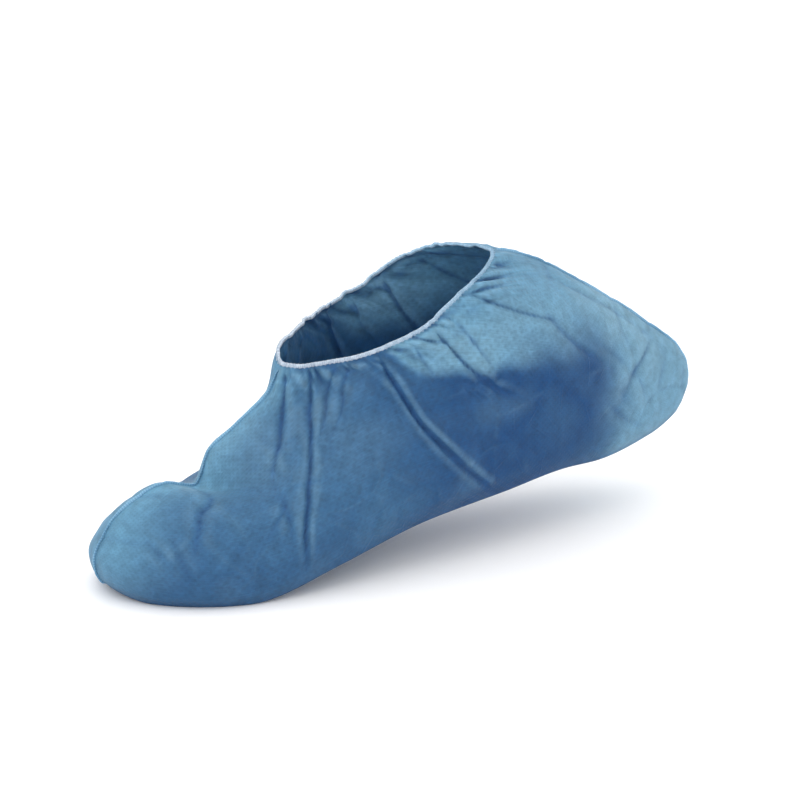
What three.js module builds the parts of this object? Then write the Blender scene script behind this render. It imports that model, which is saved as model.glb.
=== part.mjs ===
// A disposable nonwoven shoe cover, in the shape it has on a right foot that is stepping off: the ball of
// the foot is on the ground and the heel is lifted. It is made as the real one is, from one sheet folded
// under the sole, with a welded seam over the instep and toe, another down the heel, and an elastic edge
// that gathers the opening.
//
// Millimetres, +Z up. The toe points along -Y, and +X is the foot's inner side.
// The origin is on the inside of the sole, under the ball of the foot.
import * as THREE from "three";

// ---- Driving dimensions ----

const WALL = 1.5; // the fabric
const GAP = 0.3; // between pieces that touch
const BAND = { tall: 2.6, thick: 2, above: 0.9 }; // the elastic edge, and how far above the fabric it is
const SEAM = { tall: 2, thick: 1 }; // the welded ridge of the seams
const BALL_Y = -41; // the middle of the sole's flat, which is under the ball of the foot

const AROUND = 96; // mesh steps round the foot
const UP = 20; // mesh steps from the sole's edge to the opening
const UNDER = 2; // mesh steps from the fold under the sole to the sole's edge
const EVEN_RISE = 0.4; // the height at which the steps round the foot are as long as each other
const FINE = 16; // how many times finer those steps are measured

// A table's rows as objects, from the names of its columns and its lines of values.
function table(names, lines) {
  return lines.map((line) => Object.fromEntries(names.map((name, i) => [name, line[i]])));
}

// The underside of the sole seen from the side: the toe spring, the flat of the ball, then the lifted
// arch and heel, and the slack cloth that hangs down behind the heel.
const SOLE_LINE = table(
  ["y", "z"],
  [[-83, 6], [-62, 0], [-24, 0], [24, 12], [70, 21], [120, 27], [158, 31], [180, 30], [216, 33], [244, 41]],
);

// Where along a loop, from its nose at 0 to its tail at 1, the middle stations of LOOPS lie.
const STATIONS = { toe: 0.08, fore: 0.25, mid: 0.5, rear: 0.8 };

// Loops round the foot, from the sole's edge up to the opening. Each row has:
// rise: its share of the fabric's height, from 0 at the sole's edge to 1 at the opening
// noseY, tailY: its foremost and rearmost points
// noseH, toeH, foreH, midH, rearH, tailH: its heights above the sole line, from nose to tail
// toeW, foreW, midW, rearW: its half widths at the stations
// noseR, tailR: the radius of its rounded nose and tail, seen from above
// outerW, outerH: the outer side's half width and height at the front, as shares of the inner side's
const LOOPS = table(
  ["rise", "noseY", "tailY", "noseH", "toeH", "foreH", "midH", "rearH", "tailH",
    "toeW", "foreW", "midW", "rearW", "noseR", "tailR", "outerW", "outerH"],
  [
    [0.00, -74,   239, 0,    0,    0,    0,    0,    0,     35,   49,   38,   25.5, 25, 2,  1.00, 1.00],
    [0.07, -79,   242, 4,    7,    7,    6,    6.5,  5,     38,   51,   42,   28.5, 29, 3,  1.00, 1.00],
    [0.16, -81,   244, 12,   16,   17,   12.5, 14.5, 12,    38,   52,   44.5, 30,   30, 3,  0.98, 0.92],
    [0.27, -76.5, 243, 25.5, 27,   26.5, 21,   25,   21,    35,   50,   45,   30.5, 25, 3,  0.96, 0.85],
    [0.38, -64,   238, 41.5, 39.5, 36.5, 30.5, 36.5, 32.5,  31.5, 47,   44.5, 30.5, 21, 3,  0.95, 0.80],
    [0.48, -45,   227, 49,   45,   44,   39.5, 48.5, 46.5,  29,   42.5, 43.5, 30.5, 20, 3,  0.94, 0.78],
    [0.58, -28.5, 211, 45.5, 49,   52.5, 49,   60.5, 62.5,  25,   38.5, 41.5, 30.5, 16, 3,  0.94, 0.78],
    [0.68, -19.5, 191, 62.5, 60,   61,   59,   73.5, 78,    21.5, 34.5, 39,   30,   14, 4,  0.94, 0.82],
    [0.78, -5,    170, 69.5, 66,   69.5, 69.5, 86,   90.5,  17.5, 31,   36.5, 29,   12, 6,  0.95, 0.88],
    [0.89, 12,    150, 77.5, 73.5, 78,   81,   98,   102,   14,   27.5, 33.5, 27.5, 10, 8,  0.97, 0.96],
    [1.00, 17,    132, 88,   86.5, 87,   92,   107,  110.5, 12,   24,   30.5, 25.5, 9,  12, 1.00, 1.08],
  ],
);

// How soon past the nose a loop takes its outer side's shape: by where the sine of the turn is this much.
const OUTER_ONSET = 0.6;

// The main folds, as ridges between two points seen from the side. The last two are dents, where the
// toes bend. Each row has:
// side: 1 for the foot's inner side and -1 for its outer side
// fromY, fromZ, toY, toZ: the two ends of its line
// reach: how far either side of the line it is felt
// height: how far it stands out
const FOLDS = table(
  ["side", "fromY", "fromZ", "toY", "toZ", "reach", "height"],
  [
    [1,  24,  98,  3,   10,  6, 2.6],
    [1,  15,  92,  -10, 38,  6, 1.8],
    [1,  52,  108, 104, 34,  6, 2.8],
    [1,  83,  118, 140, 58,  6, 2.4],
    [1,  105, 129, 148, 110, 6, 2.2],
    [1,  156, 117, 189, 74,  6, 1.8],
    [-1, 27,  96,  2,   14,  5, 2],
    [-1, 58,  104, 98,  34,  6, 2.4],
    [-1, 86,  115, 150, 58,  6, 2.2],
    [-1, 108, 130, 160, 100, 6, 1.8],
    [1,  -26, 54,  -48, 24,  6, -1.8],
    [-1, -20, 50,  -40, 22,  6, -1.8],
  ],
);

// The gathers that the elastic draws up. They start at the rise called low, are deepest at full, and are
// half as deep at the opening, where the elastic holds them. drift makes their spacing uneven.
const GATHERS = { count: 16, depth: 1.8, low: 0.7, full: 0.92, drift: 0.2 };

// ---- The fabric's surface ----

const { clamp, lerp, smoothstep } = THREE.MathUtils;

// A smooth curve through the points (at, value), which never overshoots them.
function curveThrough(at, value) {
  const slope = at.slice(1).map((a, i) => (value[i + 1] - value[i]) / (a - at[i]));
  const tangent = at.map((_, i) => {
    const before = slope[i - 1] ?? slope[i];
    const after = slope[i] ?? slope[i - 1];
    return before * after > 0 ? (2 * before * after) / (before + after) : 0;
  });
  return (t) => {
    let i = 0;
    while (i < at.length - 2 && t > at[i + 1]) i++;
    const span = at[i + 1] - at[i];
    const u = clamp((t - at[i]) / span, 0, 1);
    const rest = value[i + 1] - value[i];
    const bend = span * (tangent[i] * u * (1 - u) ** 2 - tangent[i + 1] * u * u * (1 - u));
    return value[i] + rest * u * u * (3 - 2 * u) + bend;
  };
}

const soleHeight = curveThrough(SOLE_LINE.map((p) => p.y), SOLE_LINE.map((p) => p.z));

const rises = LOOPS.map((loop) => loop.rise);
const columns = Object.keys(LOOPS[0]).filter((name) => name !== "rise");
const columnCurves = Object.fromEntries(
  columns.map((name) => [name, curveThrough(rises, LOOPS.map((loop) => loop[name]))]),
);

// A loop at any rise, as functions of how far along it a point is, 0 at the nose and 1 at the tail.
function loopAt(rise) {
  const row = Object.fromEntries(columns.map((name) => [name, columnCurves[name](rise)]));
  const length = row.tailY - row.noseY;
  const { toe, fore, mid, rear } = STATIONS;
  const stations = [0, toe, fore, mid, rear, 1];
  // A loop's half width is its rounding, that of an ellipse, times a width that varies slowly along it.
  const rounding = (along) => 2 * Math.sqrt(along * (1 - along));
  const endWidth = (radius) => Math.sqrt((radius * length) / 2);
  const heights = [row.noseH, row.toeH, row.foreH, row.midH, row.rearH, row.tailH];
  const widths = [
    endWidth(row.noseR),
    row.toeW / rounding(toe),
    row.foreW / rounding(fore),
    row.midW / rounding(mid),
    row.rearW / rounding(rear),
    endWidth(row.tailR),
  ];
  return {
    y: (along) => row.noseY + length * along,
    height: curveThrough(stations, heights),
    width: curveThrough(stations, widths),
    outerW: row.outerW,
    outerH: row.outerH,
  };
}

// The plain surface, before gathers and folds. turn goes round the foot from the nose, through +X, to the
// tail at PI and back. rise is 0 at the sole's edge and 1 at the opening, and from 0 down to -1 it goes
// under the sole to the fold line.
function plainPoint(turn, rise) {
  const loop = loopAt(Math.max(rise, 0));
  const along = (1 - Math.cos(turn)) / 2;
  const outer = smoothstep(-Math.sin(turn), 0, OUTER_ONSET) * (1 - along);
  const width = loop.width(along) * lerp(1, loop.outerW, outer) * Math.min(1, 1 + rise);
  const height = rise > 0 ? loop.height(along) * lerp(1, loop.outerH, outer) : 0;
  const y = loop.y(along);
  return new THREE.Vector3(width * Math.sin(turn), y, soleHeight(y) + height);
}

// The turns of the mesh's columns. They divide the inner side's loop at EVEN_RISE into equal lengths, and
// the outer side's are their mirror image.
function evenTurns(count) {
  const fine = Array.from({ length: FINE * count + 1 }, (_, i) => (Math.PI * i) / (FINE * count));
  const lengths = [0];
  fine.slice(1).forEach((turn, i) => {
    const step = plainPoint(turn, EVEN_RISE).distanceTo(plainPoint(fine[i], EVEN_RISE));
    lengths.push(lengths[i] + step);
  });
  const inner = Array.from({ length: count / 2 + 1 }, (_, i) => {
    const wanted = (lengths.at(-1) * 2 * i) / count;
    return fine[lengths.findIndex((length) => length >= wanted)];
  });
  return [...inner, ...inner.slice(1, -1).reverse().map((turn) => 2 * Math.PI - turn)];
}

// The surface's outward direction and its upward direction, by small steps along it.
function plainAxes(turn, rise) {
  const step = 1e-3;
  const round = plainPoint(turn + step, rise).sub(plainPoint(turn - step, rise));
  const up = plainPoint(turn, Math.min(rise + step, 1)).sub(plainPoint(turn, rise - step));
  return { out: round.cross(up).normalize(), up: up.normalize() };
}

function gatherHeight(turn, rise) {
  const { count, depth, low, full, drift } = GATHERS;
  const share = smoothstep(rise, low, full) - smoothstep(rise, full, 1) / 2;
  return depth * share * Math.cos(count * (turn + drift * Math.sin(3 * turn + 1)));
}

// A rounded ridge along each fold's line, fading at both of its ends.
function foldHeight(point) {
  let height = 0;
  for (const fold of FOLDS) {
    const dy = fold.toY - fold.fromY;
    const dz = fold.toZ - fold.fromZ;
    const length = Math.hypot(dy, dz);
    const along = ((point.y - fold.fromY) * dy + (point.z - fold.fromZ) * dz) / length ** 2;
    const across = ((point.y - fold.fromY) * dz - (point.z - fold.fromZ) * dy) / length;
    if (along < 0 || along > 1 || point.x * fold.side < 0) continue;
    height += fold.height * Math.sin(Math.PI * along) ** 0.5 * Math.exp(-((across / fold.reach) ** 2));
  }
  return height;
}

function fabricPoint(turn, rise) {
  const point = plainPoint(turn, rise);
  if (rise <= 0) return point;
  const { out } = plainAxes(turn, rise);
  return point.addScaledVector(out, gatherHeight(turn, rise) + foldHeight(point));
}

// ---- Building solids ----

// Triangles of points as one list of vertices and faces. Points that lie together become one vertex, and a
// triangle that this closes up is left out.
function weld(triangles) {
  const seen = new Map();
  const vertices = [];
  const indexOf = (p) => {
    const key = [p.x, p.y, p.z].map((v) => Math.round(v * 1e3)).join();
    if (!seen.has(key)) {
      seen.set(key, vertices.length);
      vertices.push(p.clone());
    }
    return seen.get(key);
  };
  const faces = triangles
    .map((corners) => corners.map(indexOf))
    .filter(([a, b, c]) => a !== b && b !== c && c !== a);
  return { vertices, faces };
}

// Two triangles between each four neighbouring points of two rows, where the rows are closed loops. They
// meet along whichever diagonal stands further out, so that the ridges of folds are unbroken.
function* trianglesBetween(lower, upper) {
  for (let i = 0; i < lower.length; i++) {
    const next = (i + 1) % lower.length;
    const [a, b, c, d] = [lower[i], lower[next], upper[next], upper[i]];
    const outward = c.clone().sub(a).cross(d.clone().sub(b));
    const bulge = a.clone().add(c).sub(b).sub(d).dot(outward);
    yield* bulge >= 0 ? [[a, b, c], [a, c, d]] : [[a, b, d], [b, c, d]];
  }
}

function trianglesThrough(rows) {
  return rows.slice(1).flatMap((row, j) => [...trianglesBetween(rows[j], row)]);
}

function geometryOf({ vertices, faces }) {
  return new THREE.BufferGeometry().setFromPoints(vertices).setIndex(faces.flat());
}

// A surface as a wall: the surface itself, a copy of it moved in by the wall's thickness, and the strip
// between the two along the open edge.
function wallOf(surface, thickness) {
  const shape = geometryOf(surface);
  shape.computeVertexNormals();
  const normals = shape.getAttribute("normal");
  const count = surface.vertices.length;
  const inner = surface.vertices.map((v, i) =>
    v.clone().addScaledVector(new THREE.Vector3().fromBufferAttribute(normals, i), -thickness),
  );
  const edges = new Set(surface.faces.flatMap(([a, b, c]) => [`${a},${b}`, `${b},${c}`, `${c},${a}`]));
  const rim = [...edges]
    .map((edge) => edge.split(",").map(Number))
    .filter(([a, b]) => !edges.has(`${b},${a}`));
  return geometryOf({
    vertices: [...surface.vertices, ...inner],
    faces: [
      ...surface.faces,
      ...surface.faces.map(([a, b, c]) => [a + count, c + count, b + count]),
      ...rim.flatMap(([a, b]) => [[b, a, a + count], [b, a + count, b + count]]),
    ],
  });
}

// The corners of a bar's section round its middle, given its two half sizes as vectors.
function section(middle, half1, half2) {
  return [[-1, -1], [1, -1], [1, 1], [-1, 1]].map(([a, b]) =>
    middle.clone().addScaledVector(half1, a).addScaledVector(half2, b),
  );
}

function closedBar(sections) {
  return geometryOf(weld(trianglesThrough([...sections, sections[0]])));
}

function cappedBar(sections) {
  const [a, b, c, d] = sections[0];
  const [e, f, g, h] = sections.at(-1);
  const caps = [[a, c, b], [a, d, c], [e, f, g], [e, g, h]];
  return geometryOf(weld([...trianglesThrough(sections), ...caps]));
}

// ---- The pieces ----

function fabricBody() {
  const turns = evenTurns(AROUND);
  const rises = Array.from({ length: UNDER + UP + 1 }, (_, i) =>
    i < UNDER ? i / UNDER - 1 : (i - UNDER) / UP,
  );
  const rows = rises.map((rise) => turns.map((turn) => fabricPoint(turn, rise)));
  return wallOf(weld(trianglesThrough(rows)), WALL);
}

// The elastic runs along the opening, above the fabric's edge and centred on its thickness.
function elasticBand() {
  const sections = evenTurns(AROUND).map((turn) => {
    const { out, up } = plainAxes(turn, 1);
    const middle = plainPoint(turn, 1)
      .addScaledVector(up, BAND.above + BAND.tall / 2)
      .addScaledVector(out, -WALL / 2);
    return section(middle, up.multiplyScalar(BAND.tall / 2), out.multiplyScalar(BAND.thick / 2));
  });
  return closedBar(sections);
}

// A seam stands on the fabric's middle line, at the nose for turn 0 or at the tail for turn PI. It bends
// where the fabric's own rows of points do, so that the gap between them is even.
function seamRidge(turn) {
  const sections = Array.from({ length: UP - 1 }, (_, i) => {
    const rise = (i + 1) / UP;
    const { out } = plainAxes(turn, rise);
    const middle = fabricPoint(turn, rise).addScaledVector(out, GAP + SEAM.tall / 2);
    const across = new THREE.Vector3(Math.cos(turn), 0, 0);
    return section(middle, out.multiplyScalar(SEAM.tall / 2), across.multiplyScalar(SEAM.thick / 2));
  });
  return cappedBar(sections);
}

const nonwoven = new THREE.MeshStandardMaterial({ color: 0x5f98c0, roughness: 0.8 });
const weldedNonwoven = new THREE.MeshStandardMaterial({ color: 0x8fb9d6, roughness: 0.7 });
const elastic = new THREE.MeshStandardMaterial({ color: 0xdde6ee, roughness: 0.7 });

const PIECES = {
  fabric_body: [fabricBody(), nonwoven],
  elastic_band: [elasticBand(), elastic],
  front_seam: [seamRidge(0), weldedNonwoven],
  heel_seam: [seamRidge(Math.PI), weldedNonwoven],
};

const shoeCover = new THREE.Group();
for (const [name, [geometry, material]] of Object.entries(PIECES)) {
  geometry.computeVertexNormals();
  const piece = new THREE.Mesh(geometry, material);
  piece.name = name;
  piece.position.set(0, -BALL_Y, -WALL); // brings the inside of the sole, under the ball, to the origin
  shoeCover.add(piece);
}

export default shoeCover;
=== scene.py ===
"""A disposable nonwoven shoe cover, in the shape it has on a right foot that is stepping off.

One blank of spunbond polypropylene is folded under the sole, welded to itself over the instep and toe and
again down the heel, and gathered along its opening by a stitched elastic edge. Shapes are worked out in
millimetres, in the cover's own working frame: the toe points along -Y, +X is the foot's inner side and the
sole rests on Z = 0. A mesh is moved to the row frame, in metres, when it is made.
"""

from __future__ import annotations

import logging
import math
from collections.abc import Callable
from dataclasses import dataclass, field
from enum import Enum
from functools import partial
from typing import ClassVar

import bmesh
import bpy
import numpy as np
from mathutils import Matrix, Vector


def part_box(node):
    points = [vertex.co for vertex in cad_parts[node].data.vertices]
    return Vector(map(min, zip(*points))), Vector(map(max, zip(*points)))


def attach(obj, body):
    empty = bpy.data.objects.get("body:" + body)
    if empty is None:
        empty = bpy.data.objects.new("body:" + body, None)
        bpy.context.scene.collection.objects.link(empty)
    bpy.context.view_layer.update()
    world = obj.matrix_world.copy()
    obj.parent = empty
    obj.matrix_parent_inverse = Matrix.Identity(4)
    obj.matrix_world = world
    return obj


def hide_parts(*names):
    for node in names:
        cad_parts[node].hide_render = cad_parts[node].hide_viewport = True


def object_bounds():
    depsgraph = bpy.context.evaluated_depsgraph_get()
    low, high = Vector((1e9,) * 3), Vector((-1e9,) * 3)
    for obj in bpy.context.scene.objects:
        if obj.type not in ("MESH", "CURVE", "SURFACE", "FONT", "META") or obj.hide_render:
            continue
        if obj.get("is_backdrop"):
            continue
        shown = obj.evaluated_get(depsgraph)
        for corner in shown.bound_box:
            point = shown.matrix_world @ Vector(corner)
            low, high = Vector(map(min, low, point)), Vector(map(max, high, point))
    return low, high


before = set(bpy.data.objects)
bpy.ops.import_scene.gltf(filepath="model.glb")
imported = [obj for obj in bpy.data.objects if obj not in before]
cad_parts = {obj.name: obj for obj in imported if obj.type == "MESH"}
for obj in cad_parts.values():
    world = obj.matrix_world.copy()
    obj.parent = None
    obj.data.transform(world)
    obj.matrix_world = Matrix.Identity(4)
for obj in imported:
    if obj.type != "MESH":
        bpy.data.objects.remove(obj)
cad_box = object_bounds()

log = logging.getLogger("shoe_cover")
Array = np.ndarray
Node = bpy.types.Node
Socket = bpy.types.NodeSocket
Settings = dict[str, object]
Inputs = dict[str | int, object]
Add = Callable[..., Node]  # add_node on one material's tree
Waves = tuple[tuple[float, float], ...]
MM = 0.001
PER_MM = 1.0 / MM
FULL_TURN = 2.0 * math.pi

# The layout and the measures that the sheet's mesh carries for its material.
UV_MAP = "flat_blank"
PAINTED_SHADE = "snug"
PAINTED_THROUGH_LIGHT = "hollow"
RELIEF = "relief"
LINE = "gather_line"
BELOW = "below_opening"


class Side(Enum):
    """The two sides of the foot, as the sign of X there."""

    INNER = 1
    OUTER = -1


class SeamPlace(Enum):
    """The two welded seams, as the turn round the foot at which each stands."""

    INSTEP = 0.0
    HEEL = math.pi


# ---------------------------------------------------------------------------------------------------------
# Curves, noise and meshes
# ---------------------------------------------------------------------------------------------------------


def ease(value: Array, low: float, high: float) -> Array:
    """Smooth step: 0 up to low, 1 from high, and 3t^2 - 2t^3 between."""
    t = np.clip((value - low) / (high - low), 0.0, 1.0)
    return t * t * (3.0 - 2.0 * t)


def grow(share: float, value: Array, low: float, high: float) -> Array:
    """Smooth step from a share, up to low, to 1, from high."""
    return share + (1.0 - share) * ease(value, low, high)


def bell(value: Array, width: float | Array) -> Array:
    """Bell curve exp(-(value / width)^2)."""
    return np.exp(-((value / width) ** 2))


def curve_through(at: Array, values: Array, places: Array) -> Array:
    """Reads a smooth curve that passes through given points and never overshoots them.

    It is a cubic Hermite curve. Its tangent at a point is the harmonic mean of the slopes on both sides, or
    zero where these differ in sign, and at each end it is the slope there.

    Args:
        at: Where the K points are, in rising order, shape (K,).
        values: Their values, shape (..., K).
        places: Where to read the curve, of any shape (M...).

    Returns:
        The curve's values, shape (..., M...).
    """
    slope = np.diff(values, axis=-1) / np.diff(at)
    before = np.concatenate([slope[..., :1], slope], axis=-1)
    after = np.concatenate([slope, slope[..., -1:]], axis=-1)
    total = np.where(before + after == 0.0, 1.0, before + after)
    tangent = np.where(before * after > 0.0, 2.0 * before * after / total, 0.0)
    i = np.clip(np.searchsorted(at, places) - 1, 0, len(at) - 2)
    span = at[i + 1] - at[i]
    u = np.clip((places - at[i]) / span, 0.0, 1.0)
    rest = values[..., i + 1] - values[..., i]
    bend = span * (tangent[..., i] * u * (1 - u) ** 2 - tangent[..., i + 1] * u * u * (1 - u))
    return values[..., i] + rest * u * u * (3.0 - 2.0 * u) + bend


def unit(vectors: Array) -> Array:
    """Vectors scaled to length 1."""
    return vectors / np.maximum(np.linalg.norm(vectors, axis=-1, keepdims=True), 1e-9)


def lengths_along(points: Array) -> Array:
    """How far each point of a line lies from its first one, walked along it, shape (N,)."""
    return np.concatenate([[0.0], np.cumsum(np.linalg.norm(np.diff(points, axis=0), axis=-1))])


def read_line(at: Array, lengths: Array, values: Array) -> Array:
    """Reads vectors at places along a line, blended straight from one of its points to the next.

    Args:
        at: Where to read, as lengths along the line, shape (M,).
        lengths: The lengths at the line's points, in rising order, shape (N,).
        values: A vector at each of them, shape (N, 3).

    Returns:
        The vectors, shape (M, 3).
    """
    return np.stack([np.interp(at, lengths, values[:, k]) for k in range(3)], axis=-1)


def lattice_noise(points: Array, cell: float, seed: int) -> Array:
    """Smooth noise from -1 to 1: random values on a cubic lattice, blended by eased distances.

    Args:
        points: Where to read it, shape (..., 3).
        cell: The lattice's spacing, in the points' unit.
        seed: Which noise.

    Returns:
        One value a point, shape (...).
    """
    place = points / cell - np.floor(points.reshape(-1, 3).min(0) / cell)
    corner = np.floor(place).astype(int)
    t = place - corner
    t = t * t * (3.0 - 2.0 * t)
    values = np.random.default_rng(seed).uniform(-1.0, 1.0, corner.reshape(-1, 3).max(0) + 2)
    total = np.zeros(points.shape[:-1])
    for dx, dy, dz in np.ndindex(2, 2, 2):
        share = np.abs(1 - dx - t[..., 0]) * np.abs(1 - dy - t[..., 1]) * np.abs(1 - dz - t[..., 2])
        total += share * values[corner[..., 0] + dx, corner[..., 1] + dy, corner[..., 2] + dz]
    return total


def crease_net(points: Array, count: int, seed: int) -> Array:
    """How far points are from a net of straight creases, in the points' unit.

    The net is the borders of the cells round scattered centres: F2 - F1, the distance to the second nearest
    centre less that to the nearest, which is 0 on a border.

    Args:
        points: Where to read it, shape (..., 3).
        count: How many centres are scattered over them.
        seed: Which net.

    Returns:
        One distance a point, shape (...).
    """
    flat = points.reshape(-1, 3)
    centres = flat[np.random.default_rng(seed).choice(len(flat), count, replace=False)]
    squares = (flat**2).sum(-1)[:, None] + (centres**2).sum(-1) - 2.0 * flat @ centres.T
    nearest = np.sqrt(np.maximum(np.partition(squares, 1, axis=-1)[:, :2], 0.0))
    return (nearest[:, 1] - nearest[:, 0]).reshape(points.shape[:-1])


def high_pass(heights: Array, reach: int) -> Array:
    """A grid of heights less its mean over the cells nearby: above 0 on crests, below 0 in valleys.

    Args:
        heights: The heights, shape (R, C), whose last column joins the first.
        reach: How many cells away the mean goes.

    Returns:
        The differences, shape (R, C).
    """
    window = 2 * reach + 1
    smooth = sum(np.roll(heights, shift, axis=1) for shift in range(-reach, reach + 1)) / window
    padded = np.pad(smooth, ((reach, reach), (0, 0)), mode="edge")
    return heights - sum(padded[k : k + len(heights)] for k in range(window)) / window


def to_row_frame(points: Array) -> Array:
    """Points of the working frame, in millimetres, as points of the row frame, in metres.

    The toe's foremost point and the sole's lowest one are where the CAD fabric has them.
    """
    return (points + ROW_SHIFT) * MM


def make_object(name: str, vertices: Array, faces: Array, finish: Finish) -> bpy.types.Object:
    """Makes a smooth-shaded mesh object whose own origin is the row frame's.

    Args:
        name: The piece's name.
        vertices: Points in the working frame, in millimetres, shape (..., 3).
        faces: Vertex numbers, four a face, counter-clockwise from outside, shape (F, 4).
        finish: What its surface is.

    Returns:
        The object, linked to the scene.
    """
    mesh = bpy.data.meshes.new(name)
    mesh.from_pydata(to_row_frame(vertices.reshape(-1, 3)), [], faces.tolist())
    mesh.polygons.foreach_set("use_smooth", np.ones(len(mesh.polygons), bool))
    mesh.update()
    mesh.materials.append(finish.build())
    made = bpy.data.objects.new(name, mesh)
    bpy.context.scene.collection.objects.link(made)
    return made


def corner_vertices(mesh: bpy.types.Mesh) -> Array:
    """The number of the vertex at each face corner, shape (corners,)."""
    numbers = np.zeros(len(mesh.loops), int)
    mesh.loops.foreach_get("vertex_index", numbers)
    return numbers


def set_uv(mesh: bpy.types.Mesh, places: Array) -> None:
    """Writes the mesh's UV map, a place in metres for each face corner, shape (corners, 2)."""
    layer = mesh.uv_layers.get(UV_MAP) or mesh.uv_layers.new(name=UV_MAP)
    layer.data.foreach_set("uv", places.ravel())


def grid_faces(numbers: Array, closed: bool) -> Array:
    """Faces between neighbouring rows and columns of vertex numbers.

    Args:
        numbers: Vertex numbers, shape (rows, columns).
        closed: Whether the last column joins the first.

    Returns:
        Four numbers a face, shape (F, 4).
    """
    across = np.concatenate([numbers, numbers[:, :1]], axis=1) if closed else numbers
    corners = [across[:-1, :-1], across[:-1, 1:], across[1:, 1:], across[1:, :-1]]
    return np.stack(corners, axis=-1).reshape(-1, 4)


def tube_faces(sections: int, corners: int, closed: bool) -> Array:
    """Faces of a tube of sections one after another, with its ends filled by fans of quads if it is open.

    Args:
        sections: How many sections it has.
        corners: How many corners each has, an even number.
        closed: Whether the last section joins the first.

    Returns:
        Four numbers a face, shape (F, 4).
    """
    numbers = np.arange(sections * corners).reshape(sections, corners)
    if closed:
        return grid_faces(np.concatenate([numbers, numbers[:1]], axis=0), closed=True)
    half = np.arange(corners // 2 - 1)
    cap = np.stack([half, corners - 1 - half, corners - 2 - half, half + 1], axis=-1)
    return np.concatenate([grid_faces(numbers, closed=True), cap, cap[:, ::-1] + numbers[-1, 0]])


def rounded_section(count: int, power: float) -> Array:
    """Corners of a rounded bar's section, a superellipse |a|^power + |b|^power = 1, shape (count, 2)."""
    angle = FULL_TURN * (np.arange(count) + 0.5) / count
    a, b = np.cos(angle), np.sin(angle)
    return np.stack([a, b], axis=-1) / ((np.abs(a) ** power + np.abs(b) ** power) ** (1 / power))[:, None]


def carry(path: Array, first: Array, second: Array, ring: Array) -> Array:
    """Carries a section along a path: at each place, path + a * first + b * second for its corners (a, b).

    Args:
        path: The section's middle at each place, shape (N, 3).
        first: Its first direction there, times its size, shape (N, 3).
        second: Its second direction there, times its size, shape (N, 3).
        ring: Its corners, shape (K, 2).

    Returns:
        The points, shape (N, K, 3).
    """
    return path[:, None] + first[:, None] * ring[:, :1] + second[:, None] * ring[:, 1:]


# ---------------------------------------------------------------------------------------------------------
# Materials
# ---------------------------------------------------------------------------------------------------------


def linear(hex_colour: str) -> tuple[float, float, float, float]:
    """An sRGB colour such as "#5F98C0" as linear red, green, blue and alpha."""
    parts = [int(hex_colour[i : i + 2], 16) / 255 for i in (1, 3, 5)]
    red, green, blue = (c / 12.92 if c <= 0.04045 else ((c + 0.055) / 1.055) ** 2.4 for c in parts)
    return red, green, blue, 1.0


def add_node(
    tree: bpy.types.NodeTree, kind: str, inputs: Inputs | None = None, settings: Settings | None = None
) -> Node:
    """Adds a node, with its inputs and settings.

    Args:
        tree: The material's node tree.
        kind: The node's type without "ShaderNode", such as "TexNoise".
        inputs: For each input, by name or number, its value, another node's output socket to link, or
            another node, whose first output is linked.
        settings: The node's own properties.

    Returns:
        The node.
    """
    node = tree.nodes.new(f"ShaderNode{kind}")
    for name, value in (settings or {}).items():
        setattr(node, name, value)
    for name, value in (inputs or {}).items():
        if isinstance(value, Node):
            value = value.outputs[0]
        if isinstance(value, Socket):
            tree.links.new(value, node.inputs[name])
        else:
            node.inputs[name].default_value = value
    return node


# Settings that many nodes share.
TIMES = {"operation": "MULTIPLY"}
TIMES_AND_ADD = {"operation": "MULTIPLY_ADD"}
SMOOTH = {"interpolation_type": "SMOOTHSTEP"}
COLOURS = {"data_type": "RGBA"}  # a Mix node of colours: inputs 0, 6 and 7, output 2
PLANE_NOISE = {"noise_dimensions": "2D"}
FALLING = {"To Min": 1.0, "To Max": 0.0}  # the inputs of a Map Range from 1 down to 0

PLASTIC_IOR = 1.49  # polypropylene's
BUMP_STRENGTH = 0.6


@dataclass(frozen=True)
class Finish:
    """A finish: its fields are its colours and sizes, and its shader's nodes are added from them."""

    NAME: ClassVar[str]

    def build(self) -> bpy.types.Material:
        """Makes the material."""
        material = bpy.data.materials.new(self.NAME)
        material.use_nodes = True
        material.node_tree.nodes.clear()
        add = partial(add_node, material.node_tree)
        add("OutputMaterial", {"Surface": self.shader(add)})
        return material

    def shader(self, add: Add) -> Node:
        """Adds the finish's nodes, the shader last, and returns it."""
        raise NotImplementedError

    @staticmethod
    def on_blank(add: Add) -> Socket:
        """The place on the flat blank, or along and round a tape or seam, in metres."""
        return add("UVMap", settings={"uv_map": UV_MAP}).outputs["UV"]

    @staticmethod
    def in_row(add: Add) -> Socket:
        """The place in the row frame, in metres."""
        return add("TexCoord").outputs["Object"]


@dataclass(frozen=True)
class SheetPattern:
    """The nodes that draw the sheet's fine structure."""

    spot: Node  # 1 on a weld spot, 0 between them
    strand: Node  # the filaments' streaks
    crease: Node  # 1 on a faint crease
    pull: Node  # from -1 to 1 across the streaks below the opening


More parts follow.
